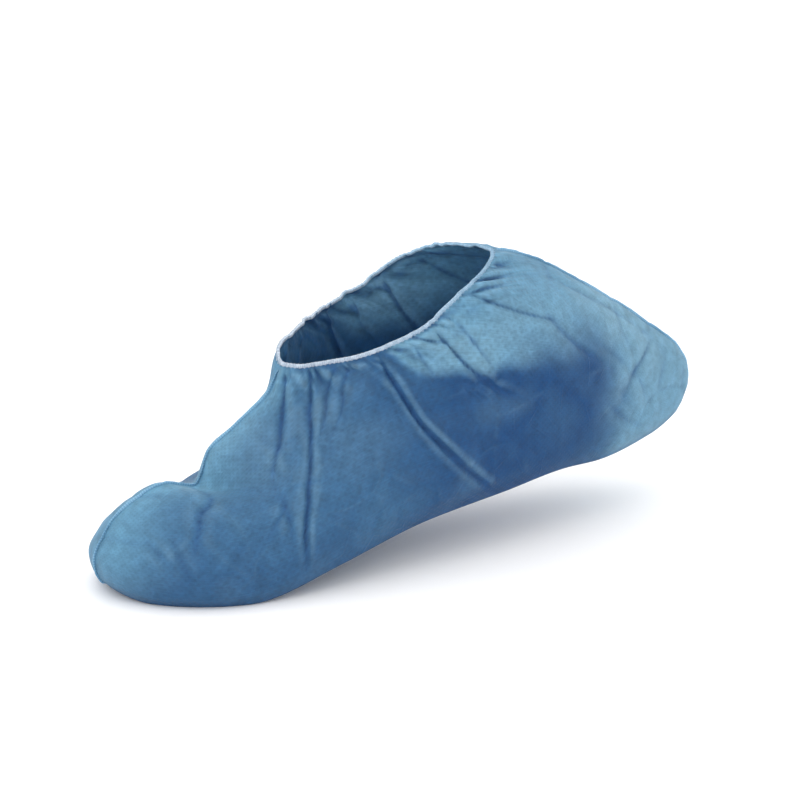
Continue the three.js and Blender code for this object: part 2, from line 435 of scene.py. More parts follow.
@dataclass(frozen=True)
class SpunbondFinish(Finish):
    """Spunbond polypropylene nonwoven, 30 g per square metre, dyed medical blue.

    Continuous filaments are laid at random and spot-welded by a heated roller. To the eye that gives a soft
    matt sheet with cloudy patches where more filaments lie, fine streaks along the roll, and a lattice of
    small, smoother, sunken weld spots. Where the sheet lies on what fills it the blue is deeper, painted shade
    of the shoe seen through it, and where it stands off on its own it is paler, painted light that comes
    through it. The spots, 2 mm apart, and the filaments are drawn a little coarser than real, so that they
    show.
    """

    NAME: ClassVar[str] = "spunbond_polypropylene_nonwoven"

    # The deep blue is painted shade: the dark shoe seen through the sheet.
    snug: str = "#14497D"
    slack: str = "#6BA0BE"
    hollow: str = "#7FACC4"  # painted light that comes through, with only air behind
    # Fold valleys: deeper partly where layers lie doubled, partly painted shade. Crests: paler partly where the
    # fold whitens the filaments, partly painted highlight.
    valley: str = "#27548A"
    crest: str = "#8DB9D2"
    through: str = "#98C8E4"  # the light that comes through it
    roughness: float = 0.62
    spot_roughness: float = 0.42
    specular: float = 0.25  # half a solid plastic's, since a bed of filaments has few flat places
    sheen: float = 0.08
    sheen_roughness: float = 0.5
    translucency: float = 0.28

    # Sizes in millimetres.
    spot_pitch: float = 2.0
    cloud_size: float = 4.8
    filament_size: float = 0.45
    crease_size: float = 13.0
    patch_size: float = 17.0
    filament_stretch: float = 9.0  # how many times longer than wide a filament's streak is
    filament_angles: tuple[float, float] = (12.0, -38.0)  # the directions that filaments favour, in degrees
    streaks_per_mm: tuple[float, float] = (0.24, 0.022)  # along the opening, and down from it
    streak_fade: tuple[float, float] = (6.0, 45.0)  # where the streaks fade, below the opening

    # How much each part of the pattern changes the colour, as a share, and how deep it is in millimetres.
    cloud_share: float = 0.23
    strand_share: float = 0.1
    spot_share: float = 0.11
    pull_share: float = 0.09
    crease_share: float = 0.08
    pull_depth: float = 0.35
    crease_depth: float = 0.25
    strand_depth: float = 0.12
    spot_depth: float = 0.09

    def weld_spots(self, add: Add, blank: Socket) -> Node:
        """Draws the weld spots: a square lattice turned by 45 degrees, so that its rows are staggered.

        Args:
            add: Adds a node to the material.
            blank: The place on the flat blank.

        Returns:
            1 on a spot, falling to 0 round it.
        """
        turn, scale = (0.0, 0.0, math.radians(45.0)), (PER_MM / self.spot_pitch,) * 3
        lattice = add("Mapping", {"Vector": blank, "Rotation": turn, "Scale": scale})
        spots = add("TexVoronoi", {"Vector": lattice, "Scale": 1.0, "Randomness": 0.12},
                    {"voronoi_dimensions": "2D", "feature": "F1"})
        return add("MapRange", {"Value": spots, "From Min": 0.16, "From Max": 0.42, **FALLING}, SMOOTH)

    def filaments(self, add: Add, blank: Socket) -> Node:
        """Draws the filaments: the product of two fine noises, each drawn out along its own direction.

        Args:
            add: Adds a node to the material.
            blank: The place on the flat blank.

        Returns:
            The product, mostly from 0.1 to 0.42.
        """
        scale = (PER_MM / (self.filament_size * self.filament_stretch), PER_MM / self.filament_size, 1.0)
        strands = []
        for angle in self.filament_angles:
            drawn_out = add("Mapping", {
                "Vector": blank, "Rotation": (0.0, 0.0, math.radians(angle)), "Scale": scale})
            strands.append(add("TexNoise", {
                "Vector": drawn_out, "Scale": 1.0, "Detail": 2.0, "Roughness": 0.55}, PLANE_NOISE))
        return add("Math", dict(enumerate(strands)), TIMES)

    def faint_creases(self, add: Add, blank: Socket, place: Socket) -> Node:
        """Draws faint straight creases, too small to model, that show in patches.

        Args:
            add: Adds a node to the material.
            blank: The place on the flat blank.
            place: The place in the row frame.

        Returns:
            1 on a crease, 0 beside it and outside the patches.
        """
        net = add("Mapping", {"Vector": blank, "Scale": (PER_MM / self.crease_size,) * 3})
        net = add("TexVoronoi", {"Vector": net, "Scale": 1.0, "Randomness": 1.0},
                  {"voronoi_dimensions": "2D", "feature": "DISTANCE_TO_EDGE"})
        line = add("MapRange", {"Value": net, "From Min": 0.0, "From Max": 0.05, **FALLING}, SMOOTH)
        patch = add("TexNoise", {"Vector": place, "Scale": PER_MM / self.patch_size, "Detail": 1.0})
        patch = add("MapRange", {"Value": patch, "From Min": 0.45, "From Max": 0.6})
        return add("Math", {0: line, 1: patch}, TIMES)

    def gather_streaks(self, add: Add) -> Node:
        """Draws streaks that follow the gather lines and fade within a few centimetres of the opening.

        Args:
            add: Adds a node to the material.

        Returns:
            From -1 to 1 across the streaks, falling to 0 where they fade.
        """
        line, below = (
            add("Attribute", settings={"attribute_name": name}).outputs["Fac"] for name in (LINE, BELOW))
        plane = add("CombineXYZ", {0: line, 1: below})
        plane = add("Mapping", {"Vector": plane, "Scale": (*self.streaks_per_mm, 1.0)})
        noise = add("TexNoise", {"Vector": plane, "Scale": 1.0, "Detail": 1.5, "Roughness": 0.5}, PLANE_NOISE)
        swing = add("MapRange", {
            "Value": noise, "From Min": 0.3, "From Max": 0.7, "To Min": -1.0, "To Max": 1.0})
        start, end = self.streak_fade
        near = add("MapRange", {
            "Value": below, "From Min": start, "From Max": end, "To Min": 1.0, "To Max": 0.1}, SMOOTH)
        return add("Math", {0: swing, 1: near}, TIMES)

    def tone(self, add: Add) -> Socket:
        """Mixes the sheet's blue: from slack to the painted shade of the shoe, paler with painted light that
        comes through, deeper in valleys, paler on crests.

        Args:
            add: Adds a node to the material.

        Returns:
            The colour.
        """
        snug, hollow, stands = (
            add("Attribute", settings={"attribute_name": name}).outputs["Fac"]
            for name in (PAINTED_SHADE, PAINTED_THROUGH_LIGHT, RELIEF))
        # Painted shade in the fold valleys and at the sole's edge, partly also doubled layers; painted highlight
        # on the crests, partly also whitened filaments.
        sunk = add("MapRange", {"Value": stands, "From Min": 0.0, "From Max": -1.1, "To Max": 0.75})
        crest_highlight = add("MapRange", {"Value": stands, "From Min": 0.05, "From Max": 0.8, "To Max": 0.3})
        colour = linear(self.slack)
        mixed = ((snug, self.snug), (hollow, self.hollow), (sunk, self.valley), (crest_highlight, self.crest))
        for share, other in mixed:
            colour = add("Mix", {0: share, 6: colour, 7: linear(other)}, COLOURS).outputs[2]
        return colour

    def shaded(self, add: Add, place: Socket, colour: Socket, pattern: SheetPattern) -> Node:
        """Clouds and streaks a colour: multiplies it by a factor near 1 for each part of the pattern.

        Args:
            add: Adds a node to the material.
            place: The place in the row frame.
            colour: The colour.
            pattern: The sheet's fine structure.

        Returns:
            The new colour.
        """
        cloud = add("TexNoise", {
            "Vector": place, "Scale": PER_MM / self.cloud_size, "Detail": 4.0, "Roughness": 0.62})
        ranged = ((cloud, 0.25, 0.75, self.cloud_share), (pattern.strand, 0.1, 0.42, self.strand_share))
        plain = ((pattern.spot, -self.spot_share), (pattern.pull, self.pull_share),
                 (pattern.crease, self.crease_share))
        factors = [add("MapRange", {"Value": value, "From Min": low, "From Max": high,
                                    "To Min": 1.0 - share, "To Max": 1.0 + share})
                   for value, low, high, share in ranged]
        factors += [add("Math", {0: value, 1: share, 2: 1.0}, TIMES_AND_ADD) for value, share in plain]
        shade = factors[0]
        for factor in factors[1:]:
            shade = add("Math", {0: shade, 1: factor}, TIMES)
        return add("VectorMath", {0: colour, "Scale": shade}, {"operation": "SCALE"})

    def relief(self, add: Add, pattern: SheetPattern) -> Node:
        """Raises the streaks, the faint creases and the filaments, and sinks the weld spots.

        Args:
            add: Adds a node to the material.
            pattern: The sheet's fine structure.

        Returns:
            The surface's direction.
        """
        layers = ((pattern.pull, self.pull_depth, False), (pattern.crease, self.crease_depth, False),
                  (pattern.strand, self.strand_depth, False), (pattern.spot, self.spot_depth, True))
        below: Inputs = {}
        for height, depth, sunken in layers:
            bump = add("Bump", {"Height": height, "Strength": BUMP_STRENGTH, "Distance": depth * MM, **below},
                       {"invert": sunken})
            below = {"Normal": bump}
        return bump

    def shader(self, add: Add) -> Node:
        """Adds the nodes: a matt front, mixed with the light that comes through the sheet."""
        blank, place = self.on_blank(add), self.in_row(add)
        pattern = SheetPattern(self.weld_spots(add, blank), self.filaments(add, blank),
                               self.faint_creases(add, blank, place), self.gather_streaks(add))
        colour = self.shaded(add, place, self.tone(add), pattern)
        normal = self.relief(add, pattern)
        gloss = add("MapRange", {
            "Value": pattern.spot, "To Min": self.roughness, "To Max": self.spot_roughness})
        front = add("BsdfPrincipled", {
            "Base Color": colour, "Roughness": gloss, "IOR": PLASTIC_IOR, "Specular IOR Level": self.specular,
            "Sheen Weight": self.sheen, "Sheen Roughness": self.sheen_roughness, "Normal": normal})
        tinted = {**COLOURS, "blend_type": "MULTIPLY"}
        passed = add("Mix", {0: 0.5, 6: linear(self.through), 7: colour}, tinted)
        behind = add("BsdfTranslucent", {"Color": passed.outputs[2], "Normal": normal})
        return add("MixShader", {0: self.translucency, 1: front, 2: behind})


@dataclass(frozen=True)
class RibbedFinish(Finish):
    """A finish with ribs across a tape or seam, and fine noise. Sizes are in millimetres."""

    rib_pitch: float = 1.0
    noise_size: float = 1.0
    depth: float = 0.1

    def ribs(self, add: Add, low: float, high: float) -> Node:
        """Draws the ribs: sin(2 pi s / pitch) at the length s, read as 0 at low and 1 at high.

        Args:
            add: Adds a node to the material.
            low: The sine that counts as a rib's foot.
            high: The sine that counts as its crest.

        Returns:
            From 0 between the ribs to 1 on them.
        """
        along = add("SeparateXYZ", {0: self.on_blank(add)})
        angle = add("Math", {0: along, 1: FULL_TURN / (self.rib_pitch * MM)}, TIMES)
        wave = add("Math", {0: angle}, {"operation": "SINE"})
        return add("MapRange", {"Value": wave, "From Min": low, "From Max": high})

    def noise(self, add: Add, place: Socket) -> Node:
        """Fine noise at a place in the row frame."""
        return add("TexNoise", {"Vector": place, "Scale": PER_MM / self.noise_size, "Detail": 3.0})

    def raised(self, add: Add, height: Node) -> Node:
        """The surface's direction where a pattern raises it."""
        return add("Bump", {"Height": height, "Strength": BUMP_STRENGTH, "Distance": self.depth * MM})


@dataclass(frozen=True)
class WeldFinish(RibbedFinish):
    """Ultrasonically welded nonwoven: two layers fused into a thin stiff flange.

    The melted filaments make it paler, smoother and shinier than the sheet, with the horn's fine cross ribs
    and painted shade between them.
    """

    NAME: ClassVar[str] = "welded_polypropylene_nonwoven"

    fused: str = "#7FADC9"
    # Painted shade between the ribs.
    valley: str = "#6697B9"
    roughness: float = 0.42
    rib_pitch: float = 1.3
    noise_size: float = 2.5
    depth: float = 0.15

    def shader(self, add: Add) -> Node:
        """Adds the nodes: ribs that show in patches, with painted shade between them."""
        ribs = self.ribs(add, -0.6, 0.6)
        patchy = add("Math", {0: ribs, 1: self.noise(add, self.in_row(add))}, TIMES)
        share = add("MapRange", {"Value": patchy, "From Min": 0.0, "From Max": 0.55})
        colour = add("Mix", {0: share, 6: linear(self.valley), 7: linear(self.fused)}, COLOURS)
        return add("BsdfPrincipled", {
            "Base Color": colour.outputs[2], "Roughness": self.roughness, "IOR": PLASTIC_IOR,
            "Normal": self.raised(add, patchy)})


@dataclass(frozen=True)
class ElasticFinish(RibbedFinish):
    """Knitted elastic tape: white polyester over rubber, bunched up where it has drawn the opening in.

    Cross ribs of thread with a soft sheen, and painted shade in the grooves between them. Towards the heel
    the sheet's own edge is rolled round the tape, so it turns blue there.
    """

    NAME: ClassVar[str] = "white_knitted_elastic"

    thread: str = "#C9D5E2"
    # Painted shade in the grooves between the ribs.
    groove_shade: str = "#8298B2"
    hemmed: str = "#86B2CF"
    hem_share: float = 0.8  # how blue it gets
    hem_start: float = 0.085  # where that starts and is full, in metres along Y in the row frame
    hem_full: float = 0.15
    fluff: float = 0.5  # how much the noise adds to the ribs
    roughness: float = 0.75
    sheen: float = 0.3
    rib_pitch: float = 0.9
    noise_size: float = 0.6
    depth: float = 0.12

    def shader(self, add: Add) -> Node:
        """Adds the nodes: fluffy ribs with painted shade between them, rolled in blue towards the heel."""
        place = self.in_row(add)
        ribs = self.ribs(add, -1.0, 0.4)
        ribbed = add("Math", {0: self.noise(add, place), 1: self.fluff, 2: ribs}, TIMES_AND_ADD)
        level = add("MapRange", {"Value": ribbed, "From Min": 0.15, "From Max": 1.1})
        plain = add("Mix", {0: level, 6: linear(self.groove_shade), 7: linear(self.thread)}, COLOURS)
        rolled = add("MapRange", {
            "Value": add("SeparateXYZ", {0: place}).outputs[1], "From Min": self.hem_start,
            "From Max": self.hem_full, "To Max": self.hem_share})
        colour = add("Mix", {0: rolled, 6: plain.outputs[2], 7: linear(self.hemmed)}, COLOURS)
        return add("BsdfPrincipled", {
            "Base Color": colour.outputs[2], "Roughness": self.roughness, "Sheen Weight": self.sheen,
            "Normal": self.raised(add, ribbed)})


@dataclass(frozen=True)
class FloorFinish(Finish):
    """Plain matt studio floor, very pale, with the faint mottling of painted board."""

    NAME: ClassVar[str] = "matt_studio_paint"

    pale: str = "#FCFCFD"
    mottled: str = "#F7F8FA"
    mottles_per_metre: float = 3.0
    roughness: float = 0.6

    def shader(self, add: Add) -> Node:
        """Adds the nodes: two pale tones mixed by noise."""
        mottle = add("TexNoise", {"Vector": self.in_row(add), "Scale": self.mottles_per_metre, "Detail": 3.0})
        colour = add("Mix", {0: mottle, 6: linear(self.pale), 7: linear(self.mottled)}, COLOURS)
        return add("BsdfPrincipled", {"Base Color": colour.outputs[2], "Roughness": self.roughness})


# ---------------------------------------------------------------------------------------------------------
# The cover's plain surface
# ---------------------------------------------------------------------------------------------------------

LOOP_COLUMNS = (
    "rise noseY tailY noseH toeH foreH midH rearH tailH toeW foreW midW rearW noseR tailR outerW outerH"
).split()

# Loops round the foot from the sole's edge, at rise 0, to the opening, at rise 1: where each starts and
# ends along the foot, its heights above the sole line and half widths at the stations, the radii of its
# rounded nose and tail, and the outer side's share of the inner side's width and height at the front.
LOOP_ROWS = (
    (0.00, -74, 239, 0.0, 0.0, 0.0, 0.0, 0.0, 0.0, 35.0, 49.0, 38.0, 25.5, 25, 2, 1.00, 1.00),
    (0.07, -79, 242, 4.0, 7.0, 7.0, 6.0, 6.5, 5.0, 38.0, 51.0, 42.0, 28.5, 29, 3, 1.00, 1.00),
    (0.16, -81, 244, 12.0, 16.0, 17.0, 12.5, 14.5, 12.0, 38.0, 52.0, 44.5, 30.0, 30, 3, 0.98, 0.92),
    (0.27, -76.5, 243, 25.5, 27.0, 26.5, 21.0, 25.0, 21.0, 35.0, 50.0, 45.0, 30.5, 25, 3, 0.96, 0.85),
    (0.38, -64, 238, 41.5, 39.5, 36.5, 30.5, 36.5, 32.5, 31.5, 47.0, 44.5, 30.5, 21, 3, 0.95, 0.80),
    (0.48, -45, 227, 49.0, 45.0, 44.0, 39.5, 48.5, 46.5, 29.0, 42.5, 43.5, 30.5, 20, 3, 0.94, 0.78),
    (0.58, -28.5, 211, 45.5, 49.0, 52.5, 49.0, 60.5, 62.5, 25.0, 38.5, 41.5, 30.5, 16, 3, 0.94, 0.78),
    (0.68, -19.5, 191, 62.5, 60.0, 61.0, 59.0, 73.5, 78.0, 21.5, 34.5, 39.0, 30.0, 14, 4, 0.94, 0.82),
    (0.78, -5, 170, 69.5, 66.0, 69.5, 69.5, 86.0, 90.5, 17.5, 31.0, 36.5, 29.0, 12, 6, 0.95, 0.88),
    (0.89, 12, 150, 77.5, 73.5, 78.0, 81.0, 98.0, 102.0, 14.0, 27.5, 33.5, 27.5, 10, 8, 0.97, 0.96),
    (1.00, 17, 132, 88.0, 86.5, 87.0, 92.0, 107.0, 110.5, 12.0, 24.0, 30.5, 25.5, 9, 12, 1.00, 1.08),
)

# The stations between the nose and the tail, and where all of them are, as shares of a loop's length.
MIDDLE_STATIONS = ("toe", "fore", "mid", "rear")
STATIONS = np.array([0.0, 0.08, 0.25, 0.5, 0.8, 1.0])

# The underside seen from the side: the toe spring, the flat under the ball, the lifted arch and heel.
SOLE_Y = np.array([-83.0, -62.0, -24.0, 24.0, 70.0, 120.0, 158.0, 180.0, 216.0, 244.0])
SOLE_Z = np.array([6.0, 0.0, 0.0, 12.0, 21.0, 27.0, 31.0, 30.0, 33.0, 41.0])

EVEN_RISE = 0.45  # the rise at which the columns round the foot are spaced
FOLDS_AT, FOLDS_REACH = 45.0, 75.0  # where most folds are, along Y, and how far from there, in millimetres
OUTER_ONSET = 0.6  # the sine of the turn past the nose by which a loop has its outer side's shape


@dataclass(frozen=True)
class CoverShape:
    """The cover's outer surface before any fold, as a function of turn and rise.

    The turn goes round the foot from the nose, at 0, along the inner side to the tail, at pi, and back along
    the outer side. The rise goes from -1 at the fold under the sole, through 0 at the sole's edge, to 1 at
    the opening.
    """

    loops: Array = field(default_factory=lambda: np.array(LOOP_ROWS))

    def column(self, name: str, rise: Array) -> Array:
        """A column of the loop table, read at each rise."""
        rises = self.loops[:, 0]
        return curve_through(rises, self.loops[:, LOOP_COLUMNS.index(name)], np.maximum(rise, 0.0))

    def points(self, turn: Array, rise: Array) -> Array:
        """The surface's points on a grid.

        Along a loop the share of its length is (1 - cos turn) / 2. The half width there is an ellipse's,
        times a width that varies slowly between the stations, and the height is a smooth curve through the
        stations' heights, above the sole line.

        Args:
            turn: The columns' turns, shape (C,).
            rise: The rows' rises, shape (R,).

        Returns:
            Points in millimetres, shape (R, C, 3).
        """
        nose, tail = self.column("noseY", rise), self.column("tailY", rise)
        length = tail - nose
        rounding = 2.0 * np.sqrt(STATIONS[1:-1] * (1.0 - STATIONS[1:-1]))
        names = ("nose", *MIDDLE_STATIONS, "tail")
        heights = np.stack([self.column(name + "H", rise) for name in names], axis=-1)
        middles = [self.column(name + "W", rise) / share for name, share in zip(MIDDLE_STATIONS, rounding)]
        ends = [np.sqrt(self.column(name + "R", rise) * length / 2.0) for name in ("nose", "tail")]
        widths = np.stack([ends[0], *middles, ends[1]], axis=-1)

        along = (1.0 - np.cos(turn)) / 2.0
        outer = ease(-np.sin(turn), 0.0, OUTER_ONSET) * (1.0 - along)
        wide = 1.0 + outer * (self.column("outerW", rise)[:, None] - 1.0)
        high = 1.0 + outer * (self.column("outerH", rise)[:, None] - 1.0)
        under = np.minimum(1.0, 1.0 + rise)[:, None]
        x = curve_through(STATIONS, widths, along) * wide * under * np.sin(turn)
        y = nose[:, None] + length[:, None] * along
        height = np.where(rise[:, None] > 0.0, curve_through(STATIONS, heights, along) * high, 0.0)
        return np.stack([x, y, curve_through(SOLE_Y, SOLE_Z, y) + height], axis=-1)

    def axes(self, turn: Array, rise: Array) -> tuple[Array, Array, Array]:
        """The surface's directions on a grid, by small steps along it.

        Args:
            turn: The columns' turns, shape (C,).
            rise: The rows' rises, shape (R,).

        Returns:
            Outward and upward unit vectors, and the step round the foot for each unit of turn, all of
            shape (R, C, 3).
        """
        step = 1e-3
        round_it = (self.points(turn + step, rise) - self.points(turn - step, rise)) / (2 * step)
        up = self.points(turn, np.minimum(rise + step, 1.0)) - self.points(turn, rise - step)
        return unit(np.cross(round_it, up)), unit(up), round_it

    def spaced_turns(self, count: int) -> Array:
        """Turns of count columns, closest where the main folds are, and the same on both sides.

        Their spacing on the inner side at EVEN_RISE goes as 1 / (1 + bell(y - FOLDS_AT, FOLDS_REACH)).
        """
        fine = np.linspace(0.0, math.pi, 16 * count)
        line = self.points(fine, np.array([EVEN_RISE]))[0]
        crowding = 1.0 + bell(line[1:, 1] - FOLDS_AT, FOLDS_REACH)
        steps = np.linalg.norm(np.diff(line, axis=0), axis=-1) * crowding
        lengths = np.concatenate([[0.0], np.cumsum(steps)])
        inner = np.interp(np.linspace(0.0, lengths[-1], count // 2 + 1), lengths, fine)
        return np.concatenate([inner, FULL_TURN - inner[-2:0:-1]])


# ---------------------------------------------------------------------------------------------------------
# Folds
# ---------------------------------------------------------------------------------------------------------


# Gather lines run down from the opening and lean back: by so many millimetres for each millimetre down.
SLANT_TURN = np.array([0.0, 0.5, 1.2, 1.75, 2.3, math.pi])
SLANT = np.array([0.0, 0.5, 0.9, 0.8, 1.1, 0.0])


@dataclass(frozen=True)
class Sheet:
    """The plain surface's grid with what its folds are worked out from."""

    turn: Array  # (C,)
    rise: Array  # (R,)
    points: Array  # (R, C, 3)
    out: Array  # (R, C, 3)
    up: Array  # (R, C, 3)
    below: Array  # (R, C), millimetres below the opening, along the surface
    line: Array  # (R, C), where the gather line through a point starts, in millimetres along the opening

    @classmethod
    def of(cls, shape: CoverShape, columns: int, rises: Array) -> Sheet:
        """Lays the grid over the shape."""
        turn = shape.spaced_turns(columns)
        points = shape.points(turn, rises)
        out, up, round_it = shape.axes(turn, rises)
        steps = np.linalg.norm(np.diff(points, axis=0), axis=-1)
        below = np.concatenate([np.cumsum(steps[::-1], axis=0)[::-1], np.zeros((1, len(turn)))])
        pace = np.linalg.norm(round_it, axis=-1)
        mirrored = np.minimum(turn, FULL_TURN - turn)
        slant = curve_through(SLANT_TURN, SLANT, mirrored)
        start = np.clip(mirrored - slant * below / np.maximum(pace, 1.0), 0.0, math.pi)
        half = len(turn) // 2 + 1
        line = np.interp(start, turn[:half], lengths_along(points[-1])[:half])
        return cls(turn, rises, points, out, up, below, line)

    @property
    def sideways(self) -> Array:
        """X, shape (R, C)."""
        return self.points[..., 0]


@dataclass(frozen=True)
class Crease:
    """A main fold: a sharp valley between two crests, along a smooth line on one side of the foot.

    Across it the height is front * crest(u + 2w) + rear * crest(u - 2w) - valley * exp(-|u| / 0.5w),
    where u is the distance behind the line, w the width, and crest(t) = exp(1 - sqrt(1 + (t / 1.3w)^2)).
    Along it the height also varies by 35% with a smooth noise. Sizes are in millimetres.
    """

    side: Side
    line: tuple[tuple[float, float], ...]  # its points (y, z), from the top down
    front: float  # how high the ridge on the toe's side stands
    rear: float
    valley: float  # how deep the valley is
    width: float
    spread: float = 0.5  # how much wider it is at its lower end, as a share
    start: float = 0.0  # the share of its length over which it grows from nothing
    fade: float = 0.45  # the share from which it fades to its lower end

    SAMPLES: ClassVar[int] = 60  # points at which its line is drawn
    UNEVEN: ClassVar[float] = 0.35
    UNEVEN_SIZE: ClassVar[float] = 13.0
    SIDE_REACH: ClassVar[float] = 8.0  # how far from the foot's middle line it ends

    def measure(self, sheet: Sheet) -> tuple[Array, Array]:
        """Where each grid point lies by this line.

        Args:
            sheet: The grid.

        Returns:
            The distance behind the line, and the share of its length, both of shape (R, C).
        """
        marks = np.array(self.line)
        walked = lengths_along(marks)
        fine = np.linspace(0.0, 1.0, self.SAMPLES)
        path = curve_through(walked / walked[-1], marks.T, fine).T
        ahead = unit(np.gradient(path, axis=0))
        gap = sheet.points[..., None, 1:] - path
        nearest = np.argmin((gap**2).sum(-1), axis=-1)
        gap = np.take_along_axis(gap, nearest[..., None, None], axis=-2)[..., 0, :]
        way = ahead[nearest]
        along = fine[nearest] + (gap * way).sum(-1) / walked[-1]
        return gap[..., 1] * way[..., 0] - gap[..., 0] * way[..., 1], along

    def height(self, sheet: Sheet) -> Array:
        """How far the sheet stands out at this fold, shape (R, C)."""
        across, along = self.measure(sheet)
        present = ease(sheet.sideways * self.side.value, 0.0, self.SIDE_REACH)
        present = present * (1.0 - ease(along, self.fade, 1.0))
        present = present * (1.0 + self.UNEVEN * lattice_noise(sheet.points, self.UNEVEN_SIZE, 2))
        if self.start > 0.0:
            present = present * ease(along, 0.0, self.start)
        width = self.width * (1.0 + self.spread * np.clip(along, 0.0, 1.0))
        total = -self.valley * np.exp(-np.abs(across) / (0.5 * width))
        for height, place in ((self.front, -2.0), (self.rear, 2.0)):
            total += height * np.exp(1.0 - np.hypot(1.0, (across - place * width) / (1.3 * width)))
        return present * total


IN, OUT = Side.INNER, Side.OUTER
CREASES = (
    # The upright fold in front of the ankle, the tuck before it and the two short ones that join it.
    Crease(IN, ((27, 101), (25.6, 86), (20.8, 78.5), (17.7, 70), (15.8, 62.5), (10.5, 50), (6.2, 37),
                (4.7, 28), (5.2, 16), (5, 8)), 0.5, 0.8, 2.6, 1.5, 0.1, fade=0.75),
    Crease(IN, ((18.2, 99), (16, 88), (11.9, 78.6), (7.2, 71.5), (2.6, 64.8), (0.2, 59), (-2.2, 53),
                (-4.5, 45)), -0.2, 1.4, 2.4, 1.5, 0.4, fade=0.55),
    Crease(IN, ((37, 101), (33, 90), (28.2, 81.8), (22, 72), (18, 64)), 0.6, 0.5, 1.4, 1.4, 0.3, fade=0.4),
    Crease(IN, ((43, 102), (40, 95), (34.3, 82.2), (27.3, 72), (23, 65)), 0.5, 0.7, 1.2, 1.5, 0.3, fade=0.3),
    # The long slanting folds under the ankle bone.
    Crease(IN, ((54, 112), (57, 102), (59, 96.8), (63.2, 88.1), (66.8, 80.9), (71, 73.2), (77.3, 65.1),
                (85.6, 55.9), (94.3, 46.7), (105.3, 36.8), (113, 30), (118, 27)),
           0.7, 1.4, 2.6, 1.5, 0.1, fade=0.7),
    Crease(IN, ((68, 116), (76, 103), (83, 92), (88, 84)), 0.4, 0.6, 1.1, 1.6, 0.5, fade=0.3),
    Crease(IN, ((78, 120), (88.5, 108), (99.3, 95.6), (107.4, 88.3), (115.3, 81.6), (128, 75.1), (144, 69)),
           0.4, 1.3, 2.1, 1.6, 0.4, fade=0.5),
    Crease(IN, ((88, 122), (96.9, 114.7), (106.4, 102), (111.2, 95.3), (117, 86)),
           0.6, 0.5, 1.1, 1.6, 0.4, fade=0.35),
    Crease(IN, ((99, 129), (104.9, 127.9), (114.9, 123.2), (131.1, 115.7), (149.4, 108.7), (166, 103)),
           0.6, 0.9, 1.9, 1.6, 0.3, fade=0.5),
    # The slack heel.
    Crease(IN, ((140, 122), (150.6, 107), (165.8, 91.7), (180, 80), (200, 66)), 1.4, 1.0, 1.4, 3.4, 0.5, 0.3),
    Crease(IN, ((222, 84), (209, 75.5), (200, 70), (191, 61), (186, 50)), 0.9, 0.8, 1.3, 2.6, 0.5, 0.35),
    Crease(IN, ((176, 66), (189.9, 52.3), (200, 45), (214, 38)), 0.7, 0.9, 1.1, 2.8, 0.5, 0.35),
    Crease(IN, ((150, 128), (176, 112), (200, 97), (222, 78), (232, 62)), 0.7, 1.1, 1.2, 3.4, 0.5, 0.25),
    Crease(IN, ((166, 98), (186, 84), (208, 62), (224, 50)), 0.8, 0.7, 0.9, 4.2, 0.4, 0.35),
    # Where the toes bend, and the slack before them.
    Crease(IN, ((-27.5, 48), (-34, 44.5), (-38.5, 42.4), (-42, 37), (-44.7, 31.8), (-49, 22)),
           0.5, 0.6, 1.9, 1.8, 0.4, 0.1, 0.4),
    Crease(IN, ((-54.5, 34), (-53.2, 26), (-52.1, 21), (-50, 12)), 0.4, 0.4, 1.0, 1.5, 0.4, 0.35),
    Crease(IN, ((-66, 36), (-61, 27), (-57, 22), (-51, 18)), 0.3, 0.4, 0.8, 1.6, 0.4, 0.4),
    Crease(IN, ((-1.6, 50), (-1.6, 42), (-1.4, 36), (-1.0, 26)), 0.4, 0.4, 1.0, 1.5, 0.4, 0.35),
    Crease(IN, ((0.5, 50), (-4, 42), (-8.5, 37.2), (-15, 29)), 0.3, 0.4, 0.9, 1.5, 0.4, 0.35),
    # The outer side.
    Crease(OUT, ((27, 98), (24, 82), (15, 62), (8, 40), (4, 10)), 0.8, 0.9, 2.2, 1.7, 0.2, fade=0.65),
    Crease(OUT, ((17, 96), (12, 80), (4, 64), (-6, 44)), 0.3, 0.9, 1.4, 1.7, 0.4, fade=0.4),
    Crease(OUT, ((58, 110), (64, 92), (74, 74), (86, 56), (106, 34)), 1.0, 1.0, 2.4, 1.7, 0.2, fade=0.65),
    Crease(OUT, ((40, 106), (38, 90), (40, 74), (46, 56)), 0.5, 0.6, 1.3, 1.6, 0.4, fade=0.4),
    Crease(OUT, ((72, 116), (78, 100), (90, 86), (104, 72)), 0.4, 0.6, 1.1, 1.6, 0.4, fade=0.35),
    Crease(OUT, ((88, 122), (104, 98), (124, 79), (158, 56)), 0.5, 1.2, 2.0, 1.7, 0.4, fade=0.5),
    Crease(OUT, ((102, 132), (126, 118), (150, 107), (176, 97)), 0.5, 0.9, 1.7, 1.7, 0.3, fade=0.4),
    Crease(OUT, ((148, 124), (168, 100), (188, 80), (206, 60)), 1.3, 1.0, 1.4, 3.4, 0.5, 0.3),
    Crease(OUT, ((222, 88), (204, 74), (192, 60), (184, 46)), 0.9, 0.8, 1.3, 2.8, 0.5, 0.3),
    Crease(OUT, ((160, 120), (186, 104), (212, 86), (230, 64)), 0.7, 1.1, 1.2, 3.6, 0.5, 0.3),
    Crease(OUT, ((150, 86), (176, 70), (200, 50), (216, 42)), 0.7, 0.8, 1.0, 4.0, 0.5, 0.35),
    Crease(OUT, ((-29, 43), (-34, 37), (-38, 30), (-43, 20)), 0.5, 0.5, 1.5, 1.8, 0.4, 0.25),
    Crease(OUT, ((3, 51), (-10, 40), (-22, 30), (-38, 25)), 0.3, 0.4, 0.9, 1.7, 0.4, 0.35),
)


